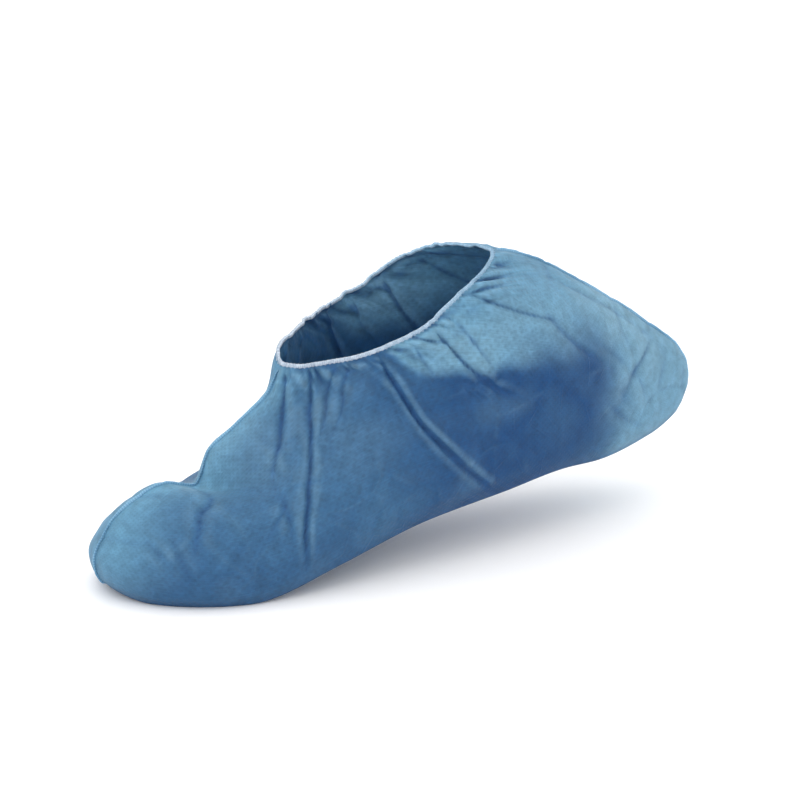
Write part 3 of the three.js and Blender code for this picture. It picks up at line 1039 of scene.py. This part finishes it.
@dataclass(frozen=True)
class Gathers:
    """The small pleats that the elastic draws up, in four sizes that run further down as they get wider.

    Each size's height is h * (2 |noise| - 0.5), with its sharp valleys, on a plane of two lengths: along the
    opening, to where the gather line through the point starts, and down that line. Pitches grow from front
    to rear. Pleats are lower at the tape, on the foot's middle line, and at the front of the outer side.
    """

    front_pitch: float = 2.7
    rear_pitch: float = 5.4
    heights: tuple[float, ...] = (1.44, 2.04, 1.8, 1.8)
    reaches: tuple[float, ...] = (9.0, 18.0, 30.0, 60.0)
    stretch: float = 1.2  # how long a pleat's waves are down its line, as a share of its reach
    held: float = 0.35  # the share of the height that is left at the tape
    held_reach: float = 3.0
    calm: float = 0.25  # the share that is left at the front of the outer side
    calm_reach: tuple[float, float] = (10.0, 40.0)
    middle_reach: tuple[float, float] = (0.5, 5.0)
    seed: int = 40

    def counted(self, sheet: Sheet) -> Array:
        """How many of the smallest pleats there are up to each gather line: the sum of dx / pitch(x)."""
        end = sheet.line.max()
        share = np.linspace(0.0, 1.0, 200)
        pitch = self.front_pitch + (self.rear_pitch - self.front_pitch) * share
        count = np.concatenate([[0.0], np.cumsum(end / (len(share) - 1) / pitch[1:])])
        return np.interp(sheet.line / end, share, count)

    def height(self, sheet: Sheet) -> Array:
        """How far the pleats stand out, shape (R, C)."""
        count = self.counted(sheet)
        outer = sheet.sideways < 0.0
        apart = np.where(outer, 50.0, 0.0)  # so that the two sides read different noise
        total = np.zeros_like(count)
        for size, (height, reach) in enumerate(zip(self.heights, self.reaches)):
            plane = np.stack([count / 2.0**size, sheet.below / (reach * self.stretch), apart], axis=-1)
            lobes = 2.0 * np.abs(lattice_noise(plane, 1.0, self.seed + size)) - 0.5
            total += height * lobes * (1.0 - ease(sheet.below, 0.25 * reach, reach))
        held = grow(self.held, sheet.below, 0.0, self.held_reach)
        calm = np.where(outer, grow(self.calm, sheet.line, *self.calm_reach), 1.0)
        return total * held * calm * ease(np.abs(sheet.sideways), *self.middle_reach)


@dataclass(frozen=True)
class Slack:
    """The loose sheet's swells and the creases it has kept from packing.

    Swells are smooth noise tens of millimetres long, higher at the heel and at the toe. The creases are two
    nets of straight lines, one of crests and one of valleys, exp(-d / reach) high at a distance d, which show
    only here and there. Sizes are in millimetres.
    """

    swell: float = 1.7
    swell_size: float = 42.0
    loose: float = 0.45  # the share of the swell's height everywhere
    loose_heel: float = 0.55  # what is added to it at the heel
    loose_toe: float = 0.3  # and at the toe
    crest: float = 0.42
    valley: float = 0.55
    reach: float = 3.0
    cells: int = 95
    warp: float = 5.0
    warp_size: float = 24.0
    patch_size: float = 26.0
    patch: tuple[float, float] = (-0.25, 0.35)  # the patches' noise at which a net starts and fully shows
    flat_rise: float = 0.18  # the rise from which the slack has its full height
    hem_reach: float = 10.0  # how far below the opening it does
    seed: int = 21

    def height(self, sheet: Sheet) -> Array:
        """How far the slack stands out, shape (R, C)."""
        y = sheet.points[..., 1]
        loose = self.loose + self.loose_heel * ease(y, 90.0, 190.0) + self.loose_toe * ease(-y, 30.0, 70.0)
        total = loose * self.swell * lattice_noise(sheet.points, self.swell_size, 3)
        warped = sheet.points + self.warp * lattice_noise(sheet.points, self.warp_size, 6)[..., None]
        for number, height in enumerate((self.crest, -self.valley)):
            net = crease_net(warped, self.cells, self.seed + number)
            patch = lattice_noise(sheet.points, self.patch_size, self.seed + 10 + number)
            total += height * ease(patch, *self.patch) * np.exp(-net / self.reach)
        low = ease(sheet.rise, 0.0, self.flat_rise)[:, None]
        return low * ease(sheet.below, 0.0, self.hem_reach) * total


@dataclass(frozen=True)
class Filling:
    """What the sheet is drawn over: a shoe, and round the shoe only the sock or air.

    It isn't modelled, but the sheet's tone is painted with it: painted shade of the shoe seen through the
    sheet where it lies on the shoe, and paler with painted light that comes through where it stands off.
    Seen from the side the shoe ends in a round corner, behind its heel and above its collar. Sizes are in
    millimetres and tones go from 0 to 1.
    """

    # The shoe's outline, along Y and Z.
    heel: float = 179.5  # where the heel ends
    heel_tuck: float = 9.0  # how much further forward it ends at the sole
    collar: float = 96.0  # how high the collar is under the ankle bone
    collar_at: float = 65.0  # where that is
    collar_fall: float = 0.078  # how much lower it is for each millimetre back
    collar_dip: float = 1.5  # how much lower it is in front of the heel's tab
    tongue: float = 30.0  # how much higher the shoe is in front of the ankle
    corner: float = 13.0

    # The border round it: uneven by two noises, softer towards the heel and on the outer side.
    border: tuple[float, float] = (-2.5, 6.5)  # where the tone starts to turn and has turned
    rough: float = 2.5
    fine: float = 1.5
    soft_heel: float = 1.6
    soft_outside: float = 1.5
    trail: float = 0.57  # the share of the painted shade left just outside the shoe, under loose folds

    # How much painted shade the sheet gets, mostly of the shoe seen through it.
    side_tone: float = 0.69  # on the foot's sides, at the front
    low_painted_shade: float = 0.11  # added near the sole: painted shade, as less light falls low down
    rear_tone: float = 0.31  # and at the rear, where that is more
    rim_tone: float = 0.15  # what is added near the opening
    toe_fade: tuple[float, float] = (-88.0, -46.0)  # where the toe's slack ends and the sides' painted shade starts

    # How much painted light comes through the sheet, where it is hollow behind it.
    hollow_heel: float = 0.35  # behind the low part of the heel,
    hollow_high: float = 0.65  # what is added to it higher up,
    hollow_front: float = 0.55  # and round the ankle
    hollow_rim: float = 0.4  # the share of it that is left at the opening

    # The strip along the instep, where the sheet spans a hollow: a painted highlight, with painted light coming
    # through.
    strip_highlight: float = 0.9  # how much less painted shade it gets: a painted highlight
    strip_hollow: float = 0.3
    strip_width: float = 9.5
    strip_widening: float = 10.0  # how much wider it is towards the toes

    def beyond(self, y: Array, z: Array, height: Array) -> Array:
        """How far outside the shoe's side outline a point is, below 0 inside it.

        The formula is hypot(max(b + r, 0), max(a + r, 0)) - r, where b is the distance behind the heel, a the
        one above the collar and r the corner's radius.

        Args:
            y: The place along the foot.
            z: The height.
            height: The height above the sole line.

        Returns:
            The distances, of the same shape.
        """
        behind = y - self.heel + self.heel_tuck * (1.0 - ease(height, 0.0, 20.0))
        above = z - self.collar + self.collar_fall * (y - self.collar_at)
        above = above + self.collar_dip * (1.0 - ease(y, 120.0, 145.0))
        above = above - self.tongue * (1.0 - ease(y, 40.0, 75.0))
        turned = np.hypot(np.maximum(behind + self.corner, 0.0), np.maximum(above + self.corner, 0.0))
        return turned - self.corner

    def tones(self, sheet: Sheet) -> tuple[Array, Array]:
        """Works out the painted shade and the painted light that comes through, from what fills the sheet.

        Args:
            sheet: The grid.

        Returns:
            The painted shade, which is 1 over the shoe's sides and 0 at the slack toe and heel, and the painted
            light that comes through, which is 1 where there is only air inside, both of shape (R, C).
        """
        x, y, z = np.moveaxis(sheet.points, -1, 0)
        height = z - curve_through(SOLE_Y, SOLE_Z, y)
        rough = lattice_noise(sheet.points, 30.0, 8)
        fine = lattice_noise(sheet.points, 12.0, 9)
        cloud = 0.1 * rough + 0.08 * fine

        # The front: slack at the toe, and a painted highlight on the strip along the instep.
        low, rear = 1.0 - ease(height, 15.0, 45.0), ease(y, 10.0, 112.0)
        # The sides: painted shade, deeper near the sole where less light falls, and towards the rear.
        sides = self.side_tone + np.maximum(self.low_painted_shade * low, self.rear_tone * rear)
        front = ease(y + 0.5 * (26.0 - z), *self.toe_fade)
        widening = self.strip_widening * (1.0 - ease(z, 44.0, 78.0)) * ease(y, -52.0, -32.0)
        strip = bell(x, self.strip_width + widening) * ease(z, 26.0, 44.0)

        # The border of the shoe.
        outside = self.beyond(y, z, height) + self.rough * rough + self.fine * fine
        soft = 1.0 + self.soft_heel * ease(y, 110.0, 165.0) + self.soft_outside * ease(-x, 0.0, 15.0)
        trail = self.trail * (1.0 - ease(outside, 4.0, 32.0)) * ease(y, 100.0, 150.0)
        away = ease(outside / soft, *self.border) * (1.0 - trail)

        # Painted shade, mostly of the shoe seen through the sheet.
        snug = front * (1.0 - away) * (1.0 - self.strip_highlight * strip) * sides
        snug = snug + self.rim_tone * ease(z, 110.0, 124.0) + cloud
        # Painted light that comes through, where there is only air behind the sheet.
        behind = self.hollow_heel + self.hollow_high * ease(z, 55.0, 90.0)
        share = self.hollow_front + (behind - self.hollow_front) * ease(y, 160.0, 188.0)
        share = share * (1.0 - (1.0 - self.hollow_rim) * ease(z, 108.0, 126.0))
        high_strip = strip * ease(z, 44.0, 56.0) * (1.0 - ease(z, 64.0, 80.0))
        hollow = share * away + 2.0 * cloud + self.strip_hollow * high_strip
        return np.clip(snug, 0.0, 1.0), np.clip(hollow, 0.0, 1.0)


# ---------------------------------------------------------------------------------------------------------
# The pieces
# ---------------------------------------------------------------------------------------------------------


@dataclass
class FabricSheet:
    """The nonwoven blank, folded under the sole and drawn up round the foot."""

    shape: CoverShape
    columns: int = 440
    rows_under: int = 9
    rows_up: int = 98
    flat: tuple[float, float] = (0.36, 0.30)  # the blank opened out, in metres

    # Sizes in millimetres.
    wall: float = 0.45  # as drawn; the real one is about 0.3
    tuck: float = 2.2  # how far the top edge runs up inside the elastic
    tuck_in: float = 0.6  # how far it turns in there
    hem_reach: float = 8.0  # how far below the elastic a fold is held back
    hem_share: float = 0.3  # the share of a fold's height that is left at the elastic
    flat_rise: float = 0.1  # the rise up to which the sole's edge holds the sheet flat
    relief_reach: int = 3  # how many cells wide a crest or valley is
    sole_shade: float = 0.5  # how deep the painted shade along the sole's edge is, as a valley of the relief
    sole_width: float = 0.03  # how far that painted shade goes, as a rise

    sheet: Sheet = field(init=False)
    points: Array = field(init=False)
    relief: Array = field(init=False)

    def __post_init__(self) -> None:
        """Works out the folded surface."""
        rises = np.concatenate([np.linspace(-1.0, 0.0, self.rows_under, endpoint=False),
                                np.linspace(0.0, 1.0, self.rows_up + 1)])
        self.sheet = Sheet.of(self.shape, self.columns, rises)
        folds = sum(crease.height(self.sheet) for crease in CREASES)
        held = grow(self.hem_share, self.sheet.below, 0.0, self.hem_reach)
        heights = Gathers().height(self.sheet) + Slack().height(self.sheet) + folds * held
        heights *= ease(self.sheet.rise, 0.0, self.flat_rise)[:, None]
        self.points = self.sheet.points + self.sheet.out * heights[..., None]
        # Painted shade along the sole's edge: the relief is lowered there, and the material paints it as a valley.
        sole = self.sole_shade * bell(self.sheet.rise, self.sole_width)
        self.relief = high_pass(heights, self.relief_reach) - sole[:, None]

    def rim(self) -> tuple[Array, Array, Array]:
        """The top edge's points and the outward and upward directions there, each of shape (C, 3)."""
        return self.points[-1], self.sheet.out[-1], self.sheet.up[-1]

    def build(self) -> bpy.types.Object:
        """Makes the sheet's mesh, its layout as the flat blank, and the measures its material reads."""
        rim, out, up = self.rim()
        points = np.concatenate([self.points, (rim + up * self.tuck - out * self.tuck_in)[None]])
        rows, columns = points.shape[:2]
        numbers = np.arange(rows * columns).reshape(rows, columns)
        mirror = (-np.arange(columns)) % columns
        numbers[0] = np.minimum(numbers[0], numbers[0][mirror])  # the two halves meet at the fold
        used, numbers = np.unique(numbers, return_inverse=True)
        numbers = numbers.reshape(rows, columns)
        vertices, faces = points.reshape(-1, 3)[used], grid_faces(numbers, closed=True)
        made = make_object("fabric_sheet", vertices, faces, SpunbondFinish())
        # The painted shade and the painted light that comes through, which the material mixes in.
        snug, hollow = Filling().tones(self.sheet)
        measures = {PAINTED_SHADE: snug, PAINTED_THROUGH_LIGHT: hollow, RELIEF: self.relief, LINE: self.sheet.line,
                    BELOW: self.sheet.below}
        for name, values in measures.items():
            values = np.concatenate([values, values[-1:]]).reshape(-1)[used]
            attribute = made.data.attributes.new(name, "FLOAT", "POINT")
            attribute.data.foreach_set("value", values.astype(np.float32))
        self.unwrap(made, numbers)
        self.square_up(made.data)
        solidify = made.modifiers.new("wall", "SOLIDIFY")
        solidify.thickness = self.wall * MM
        solidify.offset = -1.0
        return made

    @staticmethod
    def unwrap(made: bpy.types.Object, numbers: Array) -> None:
        """Lays the mesh out flat, opened along the two welded seams.

        Args:
            made: The sheet's object.
            numbers: Its vertex numbers, shape (rows, columns).
        """
        mesh = made.data
        seams = numbers[:, [0, numbers.shape[1] // 2]]
        pairs = np.stack([seams[:-1], seams[1:]], axis=-1).reshape(-1, 2)
        edges = np.zeros(len(mesh.edges) * 2, int)
        mesh.edges.foreach_get("vertices", edges)

        def keys(ends: Array) -> Array:
            """One number for each pair of vertices, whichever comes first."""
            return ends.min(axis=-1) * len(mesh.vertices) + ends.max(axis=-1)

        mesh.edges.foreach_set("use_seam", np.isin(keys(edges.reshape(-1, 2)), keys(pairs)))
        mesh.uv_layers.new(name=UV_MAP)
        bpy.context.view_layer.objects.active = made
        made.select_set(True)
        bpy.ops.object.mode_set(mode="EDIT")
        bpy.ops.mesh.select_all(action="SELECT")
        bpy.ops.uv.unwrap(method="CONFORMAL", margin=0.0)
        bpy.ops.object.mode_set(mode="OBJECT")
        made.select_set(False)

    @staticmethod
    def square_up(mesh: bpy.types.Mesh) -> None:
        """Turns and scales the layout so that the fold under the sole lies along U and lengths are real.

        With places as complex numbers, the turn is the sum of conj(layout) * wanted over the layout's own
        squares, which fits best, where wanted is (y, height), with the height counted down on the outer side.
        The layout or its mirror image is kept, whichever fits better. The scale is the root of the two
        areas' ratio.
        """
        layout = np.zeros(len(mesh.loops) * 2)
        mesh.uv_layers[UV_MAP].data.foreach_get("uv", layout)
        layout = layout[0::2] + 1j * layout[1::2]
        layout -= layout.mean()
        place = np.zeros(len(mesh.vertices) * 3)
        mesh.vertices.foreach_get("co", place)
        place = place.reshape(-1, 3)[corner_vertices(mesh)]
        wanted = place[:, 1] + 1j * np.where(place[:, 0] < 0.0, -1.0, 1.0) * place[:, 2]
        wanted -= wanted.mean()
        fits = []
        for source in (layout, layout.conj()):
            turn = (source.conj() * wanted).sum() / (np.abs(source) ** 2).sum()
            fits.append((np.abs(source * turn - wanted).sum(), source * turn / np.abs(turn)))
        laid = min(fits, key=lambda fit: fit[0])[1]

        solid, flat = place.reshape(-1, 4, 3), laid.reshape(-1, 4)
        solid = np.cross(solid[:, 2] - solid[:, 0], solid[:, 3] - solid[:, 1])
        flat = ((flat[:, 2] - flat[:, 0]).conj() * (flat[:, 3] - flat[:, 1])).imag
        laid *= np.sqrt(np.linalg.norm(solid, axis=-1).sum() / np.abs(flat).sum())
        set_uv(mesh, np.stack([laid.real, laid.imag], axis=-1))


@dataclass
class ElasticEdge:
    """The bunched elastic tape round the opening, and the thread that overlocks it to the sheet.

    Sizes are in millimetres.
    """

    fabric: FabricSheet
    tall: float = 1.9
    thick: float = 1.4
    above: float = 0.7  # how far the tape's lower edge is above the sheet's top edge
    inset: float = 0.4  # how far the tape's middle is inside that edge
    sections: int = 1080
    corners: int = 16
    squareness: float = 2.6  # the power of the section's superellipse
    bunch_pitch: float = 1.7
    bunch: float = 0.11  # how much a bunch swells the tape, as a share
    bunch_thick: float = 1.6  # how much of that swell its thickness takes
    bunch_tall: float = 0.2  # and its height
    corner_width: float = 0.6  # how far apart the layout has the section's corners
    stitch_pitch: float = 2.2
    stitch_samples: int = 14
    thread: float = 0.13  # the thread's radius
    thread_corners: int = 6
    clearance: float = 0.15  # how far the thread's middle stays off the tape
    overshoot: float = 1.3  # how much further a stitch would swing if the tape's edges didn't stop it

    # Slow waves, as (size, turns round the opening): of the bunches' phase, and of the tape in and out.
    UNEVEN: ClassVar[Waves] = ((1.1, 17.0), (0.8, 41.0))
    WANDER: ClassVar[Waves] = ((0.12, 31.0), (0.1, 57.0))

    def centre_line(self) -> tuple[Array, Array, Array, Array]:
        """The tape's centre line at its sections, evenly spaced.

        Returns:
            Points, outward and upward unit vectors of shape (sections, 3), and the distances along it.
        """
        rim, out, up = self.fabric.rim()
        middle = rim + up * (self.above + self.tall / 2.0) - out * self.inset
        middle, out, up = (np.concatenate([values, values[:1]]) for values in (middle, out, up))
        walked = lengths_along(middle)
        at = np.linspace(0.0, walked[-1], self.sections, endpoint=False)
        middle, out, up = (read_line(at, walked, values) for values in (middle, out, up))
        return middle, unit(out), unit(up), at

    def build_tape(self) -> bpy.types.Object:
        """Makes the tape: a rounded bar whose size swells and sinks by the bunches along it.

        The swell is bunch * sin(phase), where the phase grows by a turn for each bunch plus a sum of slow
        waves, and the tape's middle goes in and out by another such sum.
        """
        middle, out, up, at = self.centre_line()
        count = round(at[-1] / self.bunch_pitch)
        turn = FULL_TURN * np.arange(self.sections) / self.sections
        phase = turn * count + sum(size * np.sin(turn * turns) for size, turns in self.UNEVEN)
        swell = self.bunch * np.sin(phase)
        wander = sum(size * np.sin(phase / count * turns) for size, turns in self.WANDER)
        first = out * (self.thick / 2.0 * (1.0 + self.bunch_thick * swell))[:, None]
        second = up * (self.tall / 2.0 * (1.0 + self.bunch_tall * swell))[:, None]
        ring = rounded_section(self.corners, self.squareness)
        vertices = carry(middle + out * wander[:, None], first, second, ring)
        faces = tube_faces(self.sections, self.corners, closed=True)
        made = make_object("elastic_edge", vertices, faces, ElasticFinish())

        # The layout has one more section and one more corner than the mesh, where the tape closes.
        rows, columns = self.sections + 1, self.corners + 1
        along = np.append(at, at[-1] + at[1])
        around = np.arange(columns) * self.corner_width
        layout = np.stack([np.repeat(along, columns), np.tile(around, rows)], axis=-1) * MM
        set_uv(made.data, layout[grid_faces(np.arange(rows * columns).reshape(rows, columns), closed=False)])
        return made

    def build_stitching(self) -> bpy.types.Object:
        """Makes the overlock thread: one closed cord that zigzags over the tape and into the sheet below it.

        Its height goes as overshoot * cos(swing), cut off at the tape's two edges, where swing is a turn for
        each stitch. It passes outside the tape, and turns in over its upper edge.
        """
        middle, out, up, at = self.centre_line()
        count = round(at[-1] / self.stitch_pitch)
        samples = count * self.stitch_samples
        share = np.arange(samples) / samples
        place = share * self.sections
        low = np.floor(place).astype(int) % self.sections
        high = (low + 1) % self.sections
        t = (place - np.floor(place))[:, None]
        middle, out, up = (values[low] * (1.0 - t) + values[high] * t for values in (middle, out, up))

        rise = self.overshoot * np.cos(FULL_TURN * count * share)
        height = (self.tall / 2.0 + self.clearance) * np.clip(rise, -1.0, 1.0)
        inside = np.clip(rise, 0.0, 1.0) ** 4
        lift = (self.thick / 2.0 + self.clearance) * (1.0 - inside) + 0.1
        path = middle + up * height[:, None] + out * lift[:, None]
        ahead = unit(np.roll(path, -1, axis=0) - np.roll(path, 1, axis=0))
        side = unit(np.cross(ahead, out))
        ring = rounded_section(self.thread_corners, 2.0) * self.thread
        vertices = carry(path, side, np.cross(side, ahead), ring)
        faces = tube_faces(samples, self.thread_corners, closed=True)
        made = make_object("edge_stitching", vertices, faces, ElasticFinish(rib_pitch=0.6))
        made.data.uv_layers.new(name=UV_MAP)
        return made


@dataclass
class WeldedSeam:
    """A welded seam: a thin flange that stands on the sheet's middle line, slightly wavy and cross-ribbed.

    Sizes are in millimetres.
    """

    fabric: FabricSheet
    place: SeamPlace
    name: str
    tall: float = 1.5
    thick: float = 0.45
    sunk: float = 0.3  # how far its foot is inside the sheet
    nibble: float = 0.16  # how uneven its outer edge is
    nibble_size: float = 2.2
    rib_pitch: float = 1.3
    rib: float = 0.06  # how much taller a rib makes it
    rib_share: float = 0.1  # how much thicker, as a share
    corner_width: float = 0.4  # how far apart the layout has the section's corners
    first_rise: float = 0.02
    last_rise: float = 0.985
    end_share: float = 0.3  # how tall its two ends are, as a share
    end_reach: float = 0.02  # the rise over which it reaches its full height
    sections: int = 420
    corners: int = 12
    squareness: float = 3.0  # the power of the section's superellipse

    def build(self) -> bpy.types.Object:
        """Makes the flange: a rounded bar on the middle line, waved sideways, with a nibbled outer edge.

        Sideways it goes by 0.5 sin(s / 11.3) + 0.25 sin(s / 4.7 + 1) at the length s, times the share of its
        height to the power 1.5. Its height and thickness also go up and down with the ribs.
        """
        sheet = self.fabric.sheet
        column = 0 if self.place is SeamPlace.INSTEP else len(sheet.turn) // 2
        at = np.linspace(self.first_rise, self.last_rise, self.sections)
        foot = read_line(at, sheet.rise, self.fabric.points[:, column])
        out = unit(read_line(at, sheet.rise, sheet.out[:, column]))
        walked = lengths_along(foot)
        wave = 0.5 * np.sin(walked / 11.3) + 0.25 * np.sin(walked / 4.7 + 1.0)
        ribs = np.sin(walked * FULL_TURN / self.rib_pitch)
        nibble = self.nibble * lattice_noise(foot, self.nibble_size, 5) + self.rib * ribs
        taper = grow(self.end_share, np.minimum(at - at[0], at[-1] - at), 0.0, self.end_reach)
        half = (self.tall + nibble) * taper / 2.0

        ring = rounded_section(self.corners, self.squareness)
        across = np.array([1.0, 0.0, 0.0]) * math.cos(self.place.value)
        first = out * half[:, None]
        second = across * (self.thick / 2.0 * (1.0 + self.rib_share * ribs))[:, None]
        vertices = carry(foot - out * self.sunk + first, first, second, ring)
        share = (ring[:, :1] + 1.0) / 2.0
        vertices = vertices + across * (wave[:, None, None] * share**1.5)
        faces = tube_faces(self.sections, self.corners, closed=False)
        made = make_object(self.name, vertices, faces, WeldFinish())
        self.face_outwards(made)
        section, corner = np.divmod(corner_vertices(made.data), self.corners)
        set_uv(made.data, np.stack([walked[section], corner * self.corner_width], axis=-1) * MM)
        return made

    @staticmethod
    def face_outwards(made: bpy.types.Object) -> None:
        """Turns every face of a closed mesh outwards."""
        whole = bmesh.new()
        whole.from_mesh(made.data)
        bmesh.ops.recalc_face_normals(whole, faces=whole.faces)
        whole.to_mesh(made.data)
        whole.free()


# ---------------------------------------------------------------------------------------------------------
# The studio
# ---------------------------------------------------------------------------------------------------------


@dataclass(frozen=True)
class LightPanel:
    """A square white light panel that faces the cover."""

    name: str
    azimuth: float  # in degrees, as is the elevation
    elevation: float
    distance: float  # in metres, as is its side
    side: float
    power: float  # in watts


PANELS = (
    LightPanel("key_panel", 0.0, 56.0, 2.4, 2.4, 15.0),
    LightPanel("fill_panel", 115.0, 22.0, 2.8, 2.8, 6.0),
    LightPanel("back_panel", 235.0, 50.0, 2.6, 2.4, 8.0),
)


@dataclass(frozen=True)
class Studio:
    """A plain pale floor that curves up far behind, soft light from large panels, and the camera."""

    azimuth: float = 62.0
    elevation: float = 20.0
    distance: float = 2.2
    lens: float = 205.0  # in millimetres, as is the sensor
    sensor: float = 36.0
    clip: tuple[float, float] = (0.05, 60.0)
    floor_size: float = 14.0
    floor_cells: int = 59
    flat_radius: float = 3.5
    floor_rise: float = 0.35  # how much the floor rises at 1 m past that radius
    ambient: str = "#FAF9F7"
    ambient_strength: float = 1.36

    def build_floor(self) -> None:
        """Makes the floor: flat up to a radius, and rising as the square of the distance past it."""
        span = np.linspace(-self.floor_size / 2.0, self.floor_size / 2.0, self.floor_cells + 1)
        x, y = np.meshgrid(span, span)
        far = np.maximum(np.hypot(x, y) - self.flat_radius, 0.0)
        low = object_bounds()[0].z
        points = np.stack([x, y, low + self.floor_rise * far**2], axis=-1) / MM - ROW_SHIFT
        numbers = np.arange(x.size).reshape(x.shape)
        make_object("studio_floor", points, grid_faces(numbers, closed=False), FloorFinish())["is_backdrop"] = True

    @staticmethod
    def aim(
        name: str, data: bpy.types.ID, azimuth: float, elevation: float, distance: float
    ) -> bpy.types.Object:
        """Places a light or a camera so that it looks at the middle of the CAD model.

        Args:
            name: The object's name.
            data: The light or camera.
            azimuth: The direction it stands in, in degrees from the toe.
            elevation: How high it stands, in degrees.
            distance: How far away it stands, in metres.

        Returns:
            The object, linked to the scene.
        """
        made = bpy.data.objects.new(name, data)
        bpy.context.scene.collection.objects.link(made)
        a, e = math.radians(azimuth), math.radians(elevation)
        back = Vector((math.sin(a) * math.cos(e), -math.cos(a) * math.cos(e), math.sin(e)))
        made.location = (cad_box[0] + cad_box[1]) / 2.0 + back * distance
        made.rotation_euler = (-back).to_track_quat("-Z", "Y").to_euler()
        return made

    def build(self) -> None:
        """Makes the floor, the lights, the ambient light and the camera."""
        self.build_floor()
        for panel in PANELS:
            light = bpy.data.lights.new(panel.name, "AREA")
            light.size, light.energy = panel.side, panel.power
            self.aim(panel.name, light, panel.azimuth, panel.elevation, panel.distance)
        world = bpy.data.worlds.new("studio_ambient")
        world.use_nodes = True
        background = world.node_tree.nodes["Background"]
        background.inputs["Color"].default_value = linear(self.ambient)
        background.inputs["Strength"].default_value = self.ambient_strength
        scene = bpy.context.scene
        scene.world = world
        scene.view_settings.view_transform = "Standard"

        camera = bpy.data.cameras.new("camera")
        camera.lens, camera.sensor_width = self.lens, self.sensor
        camera.clip_start, camera.clip_end = self.clip
        scene.camera = self.aim("camera", camera, self.azimuth, self.elevation, self.distance)


def row_shift() -> Array:
    """From the working frame to the row frame, in millimetres, from the CAD fabric's lowest corner."""
    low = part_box("fabric_body")[0]
    surface = CoverShape().points(np.linspace(0.0, FULL_TURN, 720), np.linspace(0.0, 1.0, 200))
    lowest = surface.min(axis=(0, 1))
    return np.array([0.0, low.y / MM - lowest[1], low.z / MM - lowest[2]])


ROW_SHIFT = row_shift()


def main() -> None:
    """Builds the cover and its studio, and reports each piece."""
    logging.basicConfig(level=logging.INFO, format="%(name)s: %(message)s")
    fabric = FabricSheet(CoverShape())
    sheet = fabric.build()
    edge = ElasticEdge(fabric)
    tape, stitching = edge.build_tape(), edge.build_stitching()
    instep = WeldedSeam(fabric, SeamPlace.INSTEP, "instep_seam").build()
    heel = WeldedSeam(fabric, SeamPlace.HEEL, "heel_seam_flange").build()

    stands_for = (
        (sheet, "fabric_body", "nonwoven_fabric"),
        (tape, "elastic_band", "elastic"),
        (stitching, "elastic_band", "elastic"),
        (instep, "front_seam", "welded_seam"),
        (heel, "heel_seam", "welded_seam"),
    )
    for piece, node, slot in stands_for:
        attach(piece, "root")
        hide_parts(node)
        log.info("%s: %d faces", piece.name, len(piece.data.polygons))

    Studio().build()


if __name__ == "__main__":
    main()
